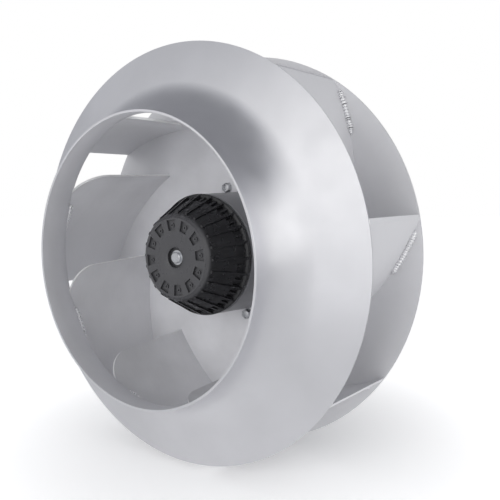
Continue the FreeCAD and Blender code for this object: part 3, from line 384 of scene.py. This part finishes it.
def ring_place(nodes, links, vector):
    """Coordinates that run outwards and along the axis only, so that a pattern forms rings."""
    flat = nodes.new("ShaderNodeVectorMath")
    flat.operation = "MULTIPLY"
    flat.inputs[1].default_value = (1, 0, 1)
    links.new(vector, flat.inputs[0])
    radius = nodes.new("ShaderNodeVectorMath")
    radius.operation = "LENGTH"
    links.new(flat.outputs["Vector"], radius.inputs[0])
    split = nodes.new("ShaderNodeSeparateXYZ")
    links.new(vector, split.inputs["Vector"])
    join = nodes.new("ShaderNodeCombineXYZ")
    links.new(radius.outputs["Value"], join.inputs["X"])
    links.new(split.outputs["Y"], join.inputs["Y"])
    return join.outputs["Vector"]


def shaded(colour, share):
    """A colour made darker or lighter."""
    return tuple(share * part for part in colour)


def spun_aluminium(name, metallic, roughness):
    """Spun sheet: fine rings from the roller, a soft sheen and slight clouding."""
    material, nodes, links, shader = new_material(name, colours().spun, metallic, roughness)
    place = object_place(nodes)
    clouds = spread(nodes, links, noise(nodes, links, place, scale=9, detail=4), 0, 1)
    links.new(tint(nodes, links, clouds, shaded(colours().spun, 0.93), colours().spun),
              shader.inputs["Base Color"])
    sheen = noise(nodes, links, place, scale=30, detail=5)
    links.new(spread(nodes, links, sheen, roughness - 0.05, roughness + 0.04),
              shader.inputs["Roughness"])
    rings = noise(nodes, links, ring_place(nodes, links, place), scale=900, detail=2)
    grain = noise(nodes, links, place, scale=1600, detail=2)
    under = bump(nodes, links, shader, rings, strength=0.10, distance=0.2 * MM)
    bump(nodes, links, shader, grain, strength=0.05, distance=0.1 * MM, under=under)
    return material


def rolled_aluminium(name, colour, turn, rim_share=1.0):
    """Mill-finish sheet: straight rolling lines, a cloudy half-matt sheen, and painted shade
    towards the rim.
    """
    material, nodes, links, shader = new_material(name, colour, metallic=0.5, roughness=0.6)
    place = object_place(nodes)
    clouds = spread(nodes, links, noise(nodes, links, place, scale=14, detail=5), 0, 1)
    sheet = tint(nodes, links, clouds, shaded(colour, 0.90), colour)
    radius = nodes.new("ShaderNodeSeparateXYZ")
    links.new(ring_place(nodes, links, place), radius.inputs["Vector"])
    # Painted shade: outwards from a radius of 0.20 m to 0.26 m the colour darkens to rim_share of
    # it.
    rim_start, rim_end = 0.20, 0.26
    rim_painted_shade = nodes.new("ShaderNodeMix")
    rim_painted_shade.data_type = "RGBA"
    links.new(spread(nodes, links, radius.outputs["X"], 0, 1, rim_start, rim_end),
              rim_painted_shade.inputs["Factor"])
    links.new(sheet, rim_painted_shade.inputs["A"])
    rim_painted_shade.inputs["B"].default_value = (*shaded(colour, rim_share), 1)
    links.new(rim_painted_shade.outputs["Result"], shader.inputs["Base Color"])
    along_rolling = stretched(nodes, links, place, scale=(1, 60, 1), turn=turn)
    lines = noise(nodes, links, along_rolling, scale=30, detail=4)
    links.new(spread(nodes, links, lines, 0.54, 0.66), shader.inputs["Roughness"])
    grain = noise(nodes, links, place, scale=1400, detail=2)
    under = bump(nodes, links, shader, lines, strength=0.08, distance=0.2 * MM)
    bump(nodes, links, shader, grain, strength=0.05, distance=0.1 * MM, under=under)
    return material


def cut_edge_highlight():
    """Sheared edge of a sheet, painted near-white as a highlight, brighter than its faces."""
    # Painted highlight: the near-white colour makes the cut edges show as bright lines whatever
    # light falls on them.
    material, nodes, links, shader = new_material(
        "cut_edge_highlight", (0.97, 0.97, 0.97), metallic=0.35, roughness=0.35)
    burrs = noise(nodes, links, object_place(nodes), scale=600, detail=3)
    links.new(spread(nodes, links, burrs, 0.28, 0.45), shader.inputs["Roughness"])
    return material


def weld_metal():
    """Fresh weld: bright ripples with a dull skin."""
    material, nodes, links, shader = new_material(
        "weld_metal", (0.95, 0.95, 0.96), metallic=1.0, roughness=0.25)
    spots = noise(nodes, links, object_place(nodes), scale=420, detail=4)
    links.new(spread(nodes, links, spots, 0.18, 0.40), shader.inputs["Roughness"])
    bump(nodes, links, shader, spots, strength=0.3, distance=0.3 * MM)
    return material


def black_casting():
    """Black coating over a die casting: fine orange peel and slightly lighter patches."""
    material, nodes, links, shader = new_material(
        "black_housing", colours().black, metallic=0.0, roughness=0.48)
    place = object_place(nodes)
    patches = spread(nodes, links, noise(nodes, links, place, scale=60, detail=4), 0, 1)
    links.new(tint(nodes, links, patches, colours().black, shaded(colours().black, 1.5)),
              shader.inputs["Base Color"])
    sheen = noise(nodes, links, place, scale=120, detail=4)
    links.new(spread(nodes, links, sheen, 0.41, 0.56), shader.inputs["Roughness"])
    peel = noise(nodes, links, place, scale=500, detail=2)
    bump(nodes, links, shader, peel, strength=0.18, distance=0.3 * MM)
    return material


def black_cap():
    """Black coating of the rotor cap, with painted light on its end face and bevel, which are made
    lighter, and painted shade on its ribbed side, which is made darker.
    """
    material, nodes, links, shader = new_material(
        "black_cap", colours().black, metallic=0.0, roughness=0.4)
    place = object_place(nodes)
    split = nodes.new("ShaderNodeSeparateXYZ")
    links.new(place, split.inputs["Vector"])
    # Painted light and shade: the end face and bevel get a lighter black and the ribbed side a
    # darker one, for how the light falls on them.
    end_face, bevel_foot = -0.2225, -0.2195
    painted_face_light = spread(nodes, links, split.outputs["Y"], 1.0, 0.0, end_face, bevel_foot)
    links.new(tint(nodes, links, painted_face_light, shaded(colours().black, 0.75), (0.050, 0.050, 0.054)),
              shader.inputs["Base Color"])
    sheen = noise(nodes, links, place, scale=120, detail=4)
    links.new(spread(nodes, links, sheen, 0.26, 0.38), shader.inputs["Roughness"])
    peel = noise(nodes, links, place, scale=700, detail=2)
    bump(nodes, links, shader, peel, strength=0.18, distance=0.3 * MM)
    return material


def black_steel():
    """Coated back iron of the rotor, turned smooth before it was painted."""
    material, nodes, links, shader = new_material(
        "black_steel", (0.20, 0.20, 0.213), metallic=0.0, roughness=0.40)
    rings = noise(nodes, links, ring_place(nodes, links, object_place(nodes)), scale=1500, detail=2)
    links.new(spread(nodes, links, rings, 0.32, 0.42), shader.inputs["Roughness"])
    bump(nodes, links, shader, rings, strength=0.08, distance=0.2 * MM)
    return material


def turned_steel(name, colour, roughness):
    """Turned or ground steel with fine rings."""
    material, nodes, links, shader = new_material(name, colour, metallic=1.0, roughness=roughness)
    rings = noise(nodes, links, ring_place(nodes, links, object_place(nodes)), scale=2400, detail=3)
    links.new(spread(nodes, links, rings, roughness - 0.06, roughness + 0.10),
              shader.inputs["Roughness"])
    bump(nodes, links, shader, rings, strength=0.15, distance=0.1 * MM)
    return material


def plated_steel():
    """Zinc-plated screws: soft sheen with faint spots."""
    material, nodes, links, shader = new_material(
        "plated_steel", colours().steel, metallic=1.0, roughness=0.32)
    spots = noise(nodes, links, object_place(nodes), scale=500, detail=4)
    links.new(tint(nodes, links, spread(nodes, links, spots, 0, 1),
                   shaded(colours().steel, 0.8), colours().steel),
              shader.inputs["Base Color"])
    links.new(spread(nodes, links, spots, 0.25, 0.42), shader.inputs["Roughness"])
    return material


def laminations():
    """Stacked electrical steel: thin sheets edge on, across the fan axis."""
    material, nodes, links, shader = new_material(
        "laminations", (0.30, 0.31, 0.34), metallic=1.0, roughness=0.4)
    sheets = nodes.new("ShaderNodeTexWave")
    sheets.bands_direction = "Y"
    sheets.inputs["Scale"].default_value = 300
    links.new(object_place(nodes), sheets.inputs["Vector"])
    links.new(tint(nodes, links, sheets.outputs["Fac"], (0.16, 0.16, 0.19), (0.36, 0.37, 0.40)),
              shader.inputs["Base Color"])
    bump(nodes, links, shader, sheets.outputs["Fac"], strength=0.3, distance=0.1 * MM)
    return material


def windings():
    """Enamelled copper wire, wound across the tooth."""
    material, nodes, links, shader = new_material(
        "windings", (0.70, 0.30, 0.12), metallic=1.0, roughness=0.3)
    wires = nodes.new("ShaderNodeTexWave")
    wires.bands_direction = "DIAGONAL"
    wires.inputs["Scale"].default_value = 220
    wires.inputs["Distortion"].default_value = 1.5
    links.new(object_place(nodes), wires.inputs["Vector"])
    links.new(tint(nodes, links, wires.outputs["Fac"], (0.30, 0.10, 0.04), (0.78, 0.36, 0.15)),
              shader.inputs["Base Color"])
    bump(nodes, links, shader, wires.outputs["Fac"], strength=0.6, distance=0.4 * MM)
    return material


def moulded(name, colour, roughness, grain=900):
    """Moulded plastic or rubber with a fine texture."""
    material, nodes, links, shader = new_material(name, colour, metallic=0.0, roughness=roughness)
    place = object_place(nodes)
    clouds = noise(nodes, links, place, scale=80, detail=3)
    links.new(tint(nodes, links, spread(nodes, links, clouds, 0, 1), shaded(colour, 0.82), colour),
              shader.inputs["Base Color"])
    links.new(spread(nodes, links, clouds, roughness - 0.05, roughness + 0.06),
              shader.inputs["Roughness"])
    skin = noise(nodes, links, place, scale=grain, detail=2)
    bump(nodes, links, shader, skin, strength=0.15, distance=0.2 * MM)
    return material


# Meshes

def add_piece(mesh, bm, corner, material):
    """Fill a mesh from a bmesh, shade it smooth up to an angle and add it to the scene."""
    for face in bm.faces:
        face.smooth = True
    bm.to_mesh(mesh)
    bm.free()
    mesh.set_sharp_from_angle(angle=math.radians(corner))
    mesh.materials.clear()
    mesh.materials.append(material)
    piece = bpy.data.objects.new(mesh.name, mesh)
    bpy.context.scene.collection.objects.link(piece)
    return piece


def new_piece(name, bm, material, body, corner=MADE_CORNER):
    """Turn a bmesh into a piece that rides on a body."""
    bmesh.ops.remove_doubles(bm, verts=bm.verts, dist=MADE_MERGE)
    bmesh.ops.recalc_face_normals(bm, faces=bm.faces)
    piece = add_piece(bpy.data.meshes.new(name), bm, corner, material)
    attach(piece, body)
    return piece


def smooth_copy(node, material, body, corner=CASTING_CORNER):
    """A merged and smoothly shaded copy of a CAD node, which stands for it."""
    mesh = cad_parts[node].data.copy()
    mesh.name = f"{node}_finished"
    # The stored corner normals no longer fit once corners are merged
    if "custom_normal" in mesh.attributes:
        mesh.attributes.remove(mesh.attributes["custom_normal"])
    bm = bmesh.new()
    bm.from_mesh(mesh)
    bmesh.ops.remove_doubles(bm, verts=bm.verts, dist=COPY_MERGE)
    piece = add_piece(mesh, bm, corner, material)
    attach(piece, body)
    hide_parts(node)
    return piece


def coat(node, material):
    """Give a CAD node a material of its own."""
    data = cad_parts[node].data
    data.materials.clear()
    data.materials.append(material)


def spin_profile(points):
    """A closed profile of (radius, ahead) points, spun once round the fan axis."""
    bm = bmesh.new()
    corners = [bm.verts.new((radius, -ahead, 0)) for radius, ahead in points]
    edges = [bm.edges.new((corners[i - 1], corners[i])) for i in range(len(corners))]
    bmesh.ops.spin(bm, geom=corners + edges, cent=(0, 0, 0), axis=(0, 1, 0), angle=2 * math.pi,
                   steps=SPIN_STEPS, use_merge=True)
    return bm


def arc(centre, radius, start, end):
    """Points on a circular arc of a profile."""
    angles = [start + (end - start) * step / ARC_STEPS for step in range(ARC_STEPS + 1)]
    return [(centre[0] + radius * math.cos(a), centre[1] + radius * math.sin(a)) for a in angles]


def sweep_ring(stations):
    """A closed bead: a ring of vertices carried along stations of (place, direction, radius)."""
    bm = bmesh.new()
    matrices = []
    for place, direction, radius in stations:
        turn = direction.to_track_quat("Z", "Y").to_matrix().to_4x4()
        matrices.append(Matrix.Translation(place) @ turn @ Matrix.Scale(radius, 4))
    bmesh.ops.create_circle(bm, cap_ends=True, segments=BEAD_SEGMENTS, radius=1,
                            matrix=matrices[0])
    front = list(bm.faces)
    for before, after in zip(matrices, matrices[1:]):
        made = bmesh.ops.extrude_face_region(bm, geom=front, use_keep_orig=before is matrices[0])
        moved = [item for item in made["geom"] if isinstance(item, bmesh.types.BMVert)]
        bmesh.ops.transform(bm, matrix=after @ before.inverted(), verts=moved)
        front = [item for item in made["geom"] if isinstance(item, bmesh.types.BMFace)]
    return bm


class PLUGFAN_OT_shroud(bpy.types.Operator):
    """Spin the inlet shroud as one smooth trumpet with broken edges"""
    bl_idname = "plugfan.shroud"
    bl_label = "Inlet shroud"

    def execute(self, context):
        s = sizes()
        start = flare_start_ahead()
        centre = (s.throat_radius + s.flare_radius, start)
        throat = start + s.throat_straight
        broken = s.broken_edge
        outer_end = math.pi + s.cone_angle
        inward = s.sheet * math.cos(s.cone_angle)
        backward = s.sheet * math.sin(s.cone_angle)
        rim, inner_rim = rim_ahead(), rim_ahead() - backward
        up_the_cone = broken / math.tan(s.cone_angle)
        profile = [
            (s.throat_radius - broken, throat),
            (s.throat_radius, throat - broken),
            *arc(centre, s.flare_radius, math.pi, outer_end),
            (s.rim_radius - broken, rim + up_the_cone),
            (s.rim_radius - inward / 4, rim - backward / 4),
            (s.rim_radius - inward, inner_rim + broken),
            (s.rim_radius - inward - broken, inner_rim + up_the_cone),
            *arc(centre, s.flare_radius + s.sheet, outer_end, math.pi),
            (s.throat_radius - s.sheet, throat - broken),
            (s.throat_radius - s.sheet + broken, throat),
        ]
        roller_side = spun_aluminium("spun_aluminium", metallic=0.92, roughness=0.33)
        inside = spun_aluminium("spun_aluminium_inside", metallic=0.55, roughness=0.55)
        trumpet = spin_profile(profile)
        piece = new_piece("inlet_shroud", trumpet, roller_side, WHEEL)
        piece.data.materials.append(inside)
        for face in piece.data.polygons:
            outwards = Vector((face.center.x, 0, face.center.z))
            if face.normal.dot(outwards) < 0:
                face.material_index = 1
        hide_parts("front_shroud")
        return {"FINISHED"}


class PLUGFAN_OT_sheet_parts(bpy.types.Operator):
    """Finish the backplate and the blades as rolled sheet"""
    bl_idname = "plugfan.sheet_parts"
    bl_label = "Backplate and blades"

    def execute(self, context):
        edge = cut_edge_highlight()
        # Painted light and shade: the backplate gets the blades' sheet colour made 1.13 times
        # lighter, a lit copy of the same sheet, darkened to 0.80 of it towards its rim as painted
        # shade.
        plate_finish = rolled_aluminium(
            "rolled_backplate", shaded(colours().sheet, 1.13), turn=0.4, rim_share=0.80)
        smooth_copy("backplate", plate_finish, WHEEL, SHEET_CORNER)
        for index in range(sizes().blade_count):
            turn = index * 2 * math.pi / sizes().blade_count
            finish = rolled_aluminium(f"rolled_blade_{index + 1}", colours().sheet, turn)
            piece = smooth_copy(f"blade_{index + 1}", finish, WHEEL, SHEET_CORNER)
            piece.data.materials.append(edge)
            for face in piece.data.polygons:
                camber_axis = blade_point(index, 0, 0, -face.center.y)
                outwards = (face.center - camber_axis).normalized()
                if abs(face.normal.dot(outwards)) < 0.5:
                    face.material_index = 1
        return {"FINISHED"}


def bead_stations(path, chance):
    """Stations along a path of points: the uneven drops of a hand-laid bead, with round ends."""
    s = sizes()
    total = sum((b - a).length for a, b in zip(path, path[1:]))
    stations = []
    travelled = 0.0
    drop_start = 0.0
    drop_length = s.bead_ripple
    drop_size = 1.0
    for index, place in enumerate(path):
        after = path[min(index + 1, len(path) - 1)]
        before = path[max(index - 1, 0)]
        if index:
            travelled += (place - path[index - 1]).length
        if travelled > drop_start + drop_length:
            drop_start += drop_length
            drop_length = s.bead_ripple * chance.uniform(*DROP_LENGTHS)
            drop_size = chance.uniform(*DROP_SIZES)
        from_end = min(travelled, total - travelled)
        rounded = math.sqrt(max(END_SHARE, min(1, from_end / (2 * s.bead_radius))))
        across = 2 * (travelled - drop_start) / drop_length - 1
        swelling = math.sqrt(max(0.0, 1 - across ** 2))
        wave = drop_size * (DROP_VALLEY + DROP_CREST * swelling)
        stations.append((place, (after - before).normalized(), s.bead_radius * rounded * wave))
    return stations


class PLUGFAN_OT_weld_beads(bpy.types.Operator):
    """Lay the weld beads that join the blades to the backplate and to the shroud"""
    bl_idname = "plugfan.weld_beads"
    bl_label = "Weld beads"

    def execute(self, context):
        s = sizes()
        metal = weld_metal()
        proud = s.bead_proud * s.bead_radius
        outer = s.blade_camber + s.sheet + proud
        inner = s.blade_camber - proud
        plate_length = s.plate_bead_end - s.plate_bead_start
        shroud_length = s.shroud_bead_end - s.shroud_bead_start
        chance = random.Random(BEAD_SEED)
        for index in range(s.blade_count):
            plate_path, shroud_path = [], []
            for step in range(BEAD_STEPS + 1):
                radius = s.plate_bead_start + plate_length * step / BEAD_STEPS
                ahead = plate_front() + proud
                plate_path.append(blade_point(index, sweep_at(radius, outer), outer, ahead))
                radius = s.shroud_bead_start + shroud_length * step / BEAD_STEPS
                ahead = shroud_inside_ahead(radius) - proud
                shroud_path.append(blade_point(index, sweep_at(radius, inner), inner, ahead))
            for name, path in (("plate_bead", plate_path), ("shroud_bead", shroud_path)):
                bead = sweep_ring(bead_stations(path, chance))
                title = f"{name}_{index + 1}"
                new_piece(title, bead, metal, WHEEL, BEAD_CORNER)
        return {"FINISHED"}


class PLUGFAN_OT_screws(bpy.types.Operator):
    """Model the hexagon screws with chamfered heads, and coat the washers"""
    bl_idname = "plugfan.screws"
    bl_label = "Impeller screws"

    def execute(self, context):
        screws = context.scene.plug_fan_screws
        seat = -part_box("impeller_washers")[0].y
        shank_end = -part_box("impeller_screws")[1].y
        shank_length = seat - shank_end
        bm = bmesh.new()
        self.add_head(bm, screws)
        middle = Matrix.Translation((0, 0, -shank_length / 2))
        bmesh.ops.create_cone(bm, cap_ends=True, segments=SHANK_SEGMENTS, radius1=screws.shank / 2,
                              radius2=screws.shank / 2, depth=shank_length, matrix=middle)
        place = around(screws.circle, screws.first_angle, seat)
        upright = Matrix.Translation(place) @ Matrix.Rotation(math.pi / 2, 4, "X")
        bmesh.ops.transform(bm, matrix=upright, verts=bm.verts)
        others = screws.count - 1
        bmesh.ops.spin(bm, geom=bm.verts[:] + bm.edges[:] + bm.faces[:], cent=(0, 0, 0),
                       axis=(0, 1, 0), angle=2 * math.pi * others / screws.count, steps=others,
                       use_duplicate=True)
        plated = plated_steel()
        piece = new_piece("hexagon_screws", bm, plated, WHEEL)
        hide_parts("impeller_screws")
        smooth_copy("impeller_washers", plated, WHEEL, SHEET_CORNER)
        return {"FINISHED"}

    def add_head(self, bm, screws):
        """One hexagon head that stands on the origin, with its upper edges broken."""
        corner = screws.across_flats / math.sqrt(3)
        middle = Matrix.Translation((0, 0, screws.head_height / 2))
        bmesh.ops.create_cone(bm, cap_ends=True, segments=6, radius1=corner, radius2=corner,
                              depth=screws.head_height, matrix=middle)
        rim = [edge for edge in bm.edges
               if all(end.co.z > screws.head_height / 2 for end in edge.verts)]
        bmesh.ops.bevel(bm, geom=rim, offset=screws.chamfer, segments=2, affect="EDGES",
                        profile=0.5, material=-1)


class PLUGFAN_OT_rotor(bpy.types.Operator):
    """Finish the ribbed rotor cap, the smooth drum, the shaft and what turns inside"""
    bl_idname = "plugfan.rotor"
    bl_label = "Rotor"

    def execute(self, context):
        smooth_copy("rotor_cap", black_cap(), WHEEL)
        smooth_copy("rotor_drum", black_steel(), WHEEL)
        shaft = turned_steel("turned_steel", (0.60, 0.61, 0.63), 0.26)
        smooth_copy("shaft", shaft, WHEEL)
        coat("shaft_retaining_ring", shaft)
        coat("rotor_magnets", moulded("ferrite", (0.06, 0.06, 0.065), 0.5))
        ground = turned_steel("ground_steel", (0.70, 0.70, 0.72), 0.16)
        cage = moulded("cage_plastic", (0.62, 0.58, 0.46), 0.5)
        for end in ("front", "rear"):
            for part in ("inner_ring", "outer_ring", "balls"):
                coat(f"{end}_bearing_{part}", ground)
            coat(f"{end}_bearing_cage", cage)
        coat("bearing_wave_spring", ground)
        return {"FINISHED"}


class PLUGFAN_OT_motor(bpy.types.Operator):
    """Finish the motor that stands still: flange, stator, housing, cover and cable glands"""
    bl_idname = "plugfan.motor"
    bl_label = "Motor"

    def execute(self, context):
        casting = black_casting()
        for node in ("motor_flange", "electronics_housing"):
            smooth_copy(node, casting, MOTOR)
        plastic = moulded("black_plastic", (0.035, 0.035, 0.037), 0.42)
        for node in ("terminal_cover", "gland_bodies", "gland_nuts"):
            smooth_copy(node, plastic, MOTOR)
        rubber = moulded("seal_rubber", (0.022, 0.022, 0.022), 0.72)
        for node in ("housing_gasket", "cover_seal", "gland_seals"):
            coat(node, rubber)
        plated = bpy.data.materials["plated_steel"]
        for node in ("housing_screws", "cover_screws"):
            smooth_copy(node, plated, MOTOR)
        coat("board_screws", plated)
        coat("stator_stack", laminations())
        coat("stator_coils", windings())
        insulation = moulded("insulation", (0.70, 0.67, 0.58), 0.5)
        coat("front_insulator", insulation)
        coat("rear_insulator", insulation)
        coat("circuit_board", moulded("board_lacquer", (0.03, 0.20, 0.09), 0.3, 300))
        coat("capacitors", turned_steel("capacitor_can", (0.40, 0.42, 0.50), 0.3))
        coat("power_module", plastic)
        coat("terminal_block", moulded("terminal_plastic", (0.20, 0.21, 0.22), 0.45))
        return {"FINISHED"}


class PLUGFAN_OT_stage(bpy.types.Operator):
    """Lay the pale floor, hang the soft lights and place the camera"""
    bl_idname = "plugfan.stage"
    bl_label = "Studio"

    def execute(self, context):
        scene = context.scene
        studio = scene.plug_fan_studio
        scene.view_settings.view_transform = "Standard"
        self.add_floor(studio, min(CAD_BOX[0].z, -PLATE_BOX[1].z))
        self.add_world(scene)
        self.add_camera(scene, studio)
        self.add_lamp("lamp_right", (2.2, -1.6, 1.5), size=2.4, power=studio.side_power)
        front = self.add_lamp("lamp_front", (0.3, -2.6, 0.5), size=1.6, power=studio.front_power)
        front.visible_glossy = False
        return {"FINISHED"}

    def add_floor(self, studio, level):
        """White paper. Its glow to the camera is dimmed near the fan as a painted shadow, and it
        glows to the fan's glossy and diffuse rays as painted light from below.
        """
        bm = bmesh.new()
        bmesh.ops.create_circle(bm, cap_ends=True, segments=64, radius=studio.floor_radius,
                                matrix=Matrix.Translation((0, 0, level)))
        mesh = bpy.data.meshes.new("floor")
        bm.to_mesh(mesh)
        bm.free()
        floor = bpy.data.objects.new("floor", mesh)
        bpy.context.scene.collection.objects.link(floor)
        material, nodes, links, shader = new_material(
            "floor_paper", (0.86, 0.86, 0.86), metallic=0.0, roughness=0.9)
        mesh.materials.append(material)
        shader.inputs["Specular IOR Level"].default_value = 0.0
        shader.inputs["Emission Color"].default_value = (1, 1, 1, 1)
        distance = nodes.new("ShaderNodeVectorMath")
        distance.operation = "DISTANCE"
        distance.inputs[1].default_value = (0.0, -studio.shadow_ahead, level)
        links.new(object_place(nodes), distance.inputs[0])
        # Painted shadow: the glow to the camera rises from 0.13 within shadow_start of the shadow's
        # middle to 0.67 beyond shadow_end.
        seen = spread(nodes, links, distance.outputs["Value"], low=0.13, high=0.67,
                      from_low=studio.shadow_start, from_high=studio.shadow_end)
        path = nodes.new("ShaderNodeLightPath")
        strength = 0
        # Painted light: the floor also glows to glossy rays at 0.14 and to diffuse rays at 0.60,
        # lighting the fan and showing in its reflections like a lamp.
        rays = (("Is Camera Ray", seen), ("Is Glossy Ray", 0.14), ("Is Diffuse Ray", 0.60))
        for ray, share in rays:
            node = nodes.new("ShaderNodeMath")
            node.operation = "MULTIPLY_ADD"
            links.new(path.outputs[ray], node.inputs[0])
            feed(links, share, node.inputs[1])
            feed(links, strength, node.inputs[2])
            strength = node.outputs["Value"]
        links.new(strength, shader.inputs["Emission Strength"])

    def add_world(self, scene):
        """White to the camera; to the fan a room with bright walls in front and at the right."""
        world = bpy.data.worlds.new("studio")
        world.use_nodes = True
        scene.world = world
        nodes, links = world.node_tree.nodes, world.node_tree.links
        background = nodes["Background"]
        place = nodes.new("ShaderNodeTexCoord").outputs["Generated"]

        def towards(direction):
            node = nodes.new("ShaderNodeVectorMath")
            node.operation = "DOT_PRODUCT"
            node.inputs[1].default_value = direction
            links.new(place, node.inputs[0])
            return node.outputs["Value"]

        def blend(factor, low, high):
            """Mix two strengths."""
            node = nodes.new("ShaderNodeMix")
            node.data_type = "FLOAT"
            links.new(factor, node.inputs["Factor"])
            feed(links, low, node.inputs["A"])
            feed(links, high, node.inputs["B"])
            return node.outputs["Result"]

        bright_wall = (0.77, -0.64, 0.0)
        left_panel = (-0.583, -0.694, 0.423)
        ceiling = (0.0, 0.0, 1.0)
        walls = spread(nodes, links, towards(bright_wall), low=0.38, high=1.18,
                       from_low=-0.65, from_high=0.60)
        panel = spread(nodes, links, towards(left_panel), low=0.0, high=0.14,
                       from_low=0.6, from_high=1.0)
        lit = nodes.new("ShaderNodeMath")
        lit.operation = "ADD"
        links.new(walls, lit.inputs[0])
        links.new(panel, lit.inputs[1])
        overhead = spread(nodes, links, towards(ceiling), low=0.0, high=1.0,
                          from_low=0.44, from_high=0.78)
        shade = blend(overhead, lit.outputs["Value"], 0.25)
        path = nodes.new("ShaderNodeLightPath")
        strength = blend(path.outputs["Is Camera Ray"], shade, 1.0)
        links.new(strength, background.inputs["Strength"])
        links.new(tint(nodes, links, strength, (0.86, 0.89, 1.0), (1.0, 1.0, 1.0)),
                  background.inputs["Color"])

    def add_camera(self, scene, studio):
        data = bpy.data.cameras.new("camera")
        data.sensor_width = 36
        data.lens = studio.lens
        camera = bpy.data.objects.new("camera", data)
        scene.collection.objects.link(camera)
        camera.location = studio.camera_place
        camera.rotation_mode = "QUATERNION"
        camera.rotation_quaternion = Vector(studio.camera_view).to_track_quat("-Z", "Y")
        scene.camera = camera

    def add_lamp(self, name, place, size, power):
        """A soft round lamp that faces the middle of the fan."""
        data = bpy.data.lights.new(name, "AREA")
        data.shape = "DISK"
        data.size = size
        data.energy = power
        lamp = bpy.data.objects.new(name, data)
        bpy.context.scene.collection.objects.link(lamp)
        lamp.location = place
        fan = Vector((0, -0.15, 0))
        lamp.rotation_mode = "QUATERNION"
        lamp.rotation_quaternion = (fan - Vector(place)).to_track_quat("-Z", "Y")
        return lamp


STEPS = (PLUGFAN_OT_shroud, PLUGFAN_OT_sheet_parts, PLUGFAN_OT_weld_beads, PLUGFAN_OT_screws,
         PLUGFAN_OT_rotor, PLUGFAN_OT_motor, PLUGFAN_OT_stage)


class PLUGFAN_PT_panel(bpy.types.Panel):
    """Steps that dress the fan"""
    bl_idname = "PLUGFAN_PT_panel"
    bl_label = "Plug fan"
    bl_space_type = "VIEW_3D"
    bl_region_type = "UI"
    bl_category = "Plug fan"

    def draw(self, context):
        for step in STEPS:
            self.layout.operator(step.bl_idname)
        scene = context.scene
        for group, names in (
            (scene.plug_fan_sizes, ("throat_radius", "flare_radius", "cone_angle", "rim_radius")),
            (scene.plug_fan_sizes, ("bead_radius", "bead_ripple")),
            (scene.plug_fan_screws, ("across_flats", "head_height")),
            (scene.plug_fan_colours, ("spun", "sheet", "black", "steel")),
            (scene.plug_fan_studio, ("lens", "side_power", "front_power")),
        ):
            for name in names:
                self.layout.prop(group, name)


CLASSES = (WheelSizes, ScrewSizes, Colours, Studio, *STEPS, PLUGFAN_PT_panel)


def register():
    for item in CLASSES:
        bpy.utils.register_class(item)
    bpy.types.Scene.plug_fan_sizes = bpy.props.PointerProperty(type=WheelSizes)
    bpy.types.Scene.plug_fan_screws = bpy.props.PointerProperty(type=ScrewSizes)
    bpy.types.Scene.plug_fan_colours = bpy.props.PointerProperty(type=Colours)
    bpy.types.Scene.plug_fan_studio = bpy.props.PointerProperty(type=Studio)


def unregister():
    del bpy.types.Scene.plug_fan_studio
    del bpy.types.Scene.plug_fan_colours
    del bpy.types.Scene.plug_fan_screws
    del bpy.types.Scene.plug_fan_sizes
    for item in reversed(CLASSES):
        bpy.utils.unregister_class(item)


def main():
    register()
    bpy.ops.plugfan.shroud()
    bpy.ops.plugfan.sheet_parts()
    bpy.ops.plugfan.weld_beads()
    bpy.ops.plugfan.screws()
    bpy.ops.plugfan.rotor()
    bpy.ops.plugfan.motor()
    bpy.ops.plugfan.stage()


if __name__ == "__main__":
    main()
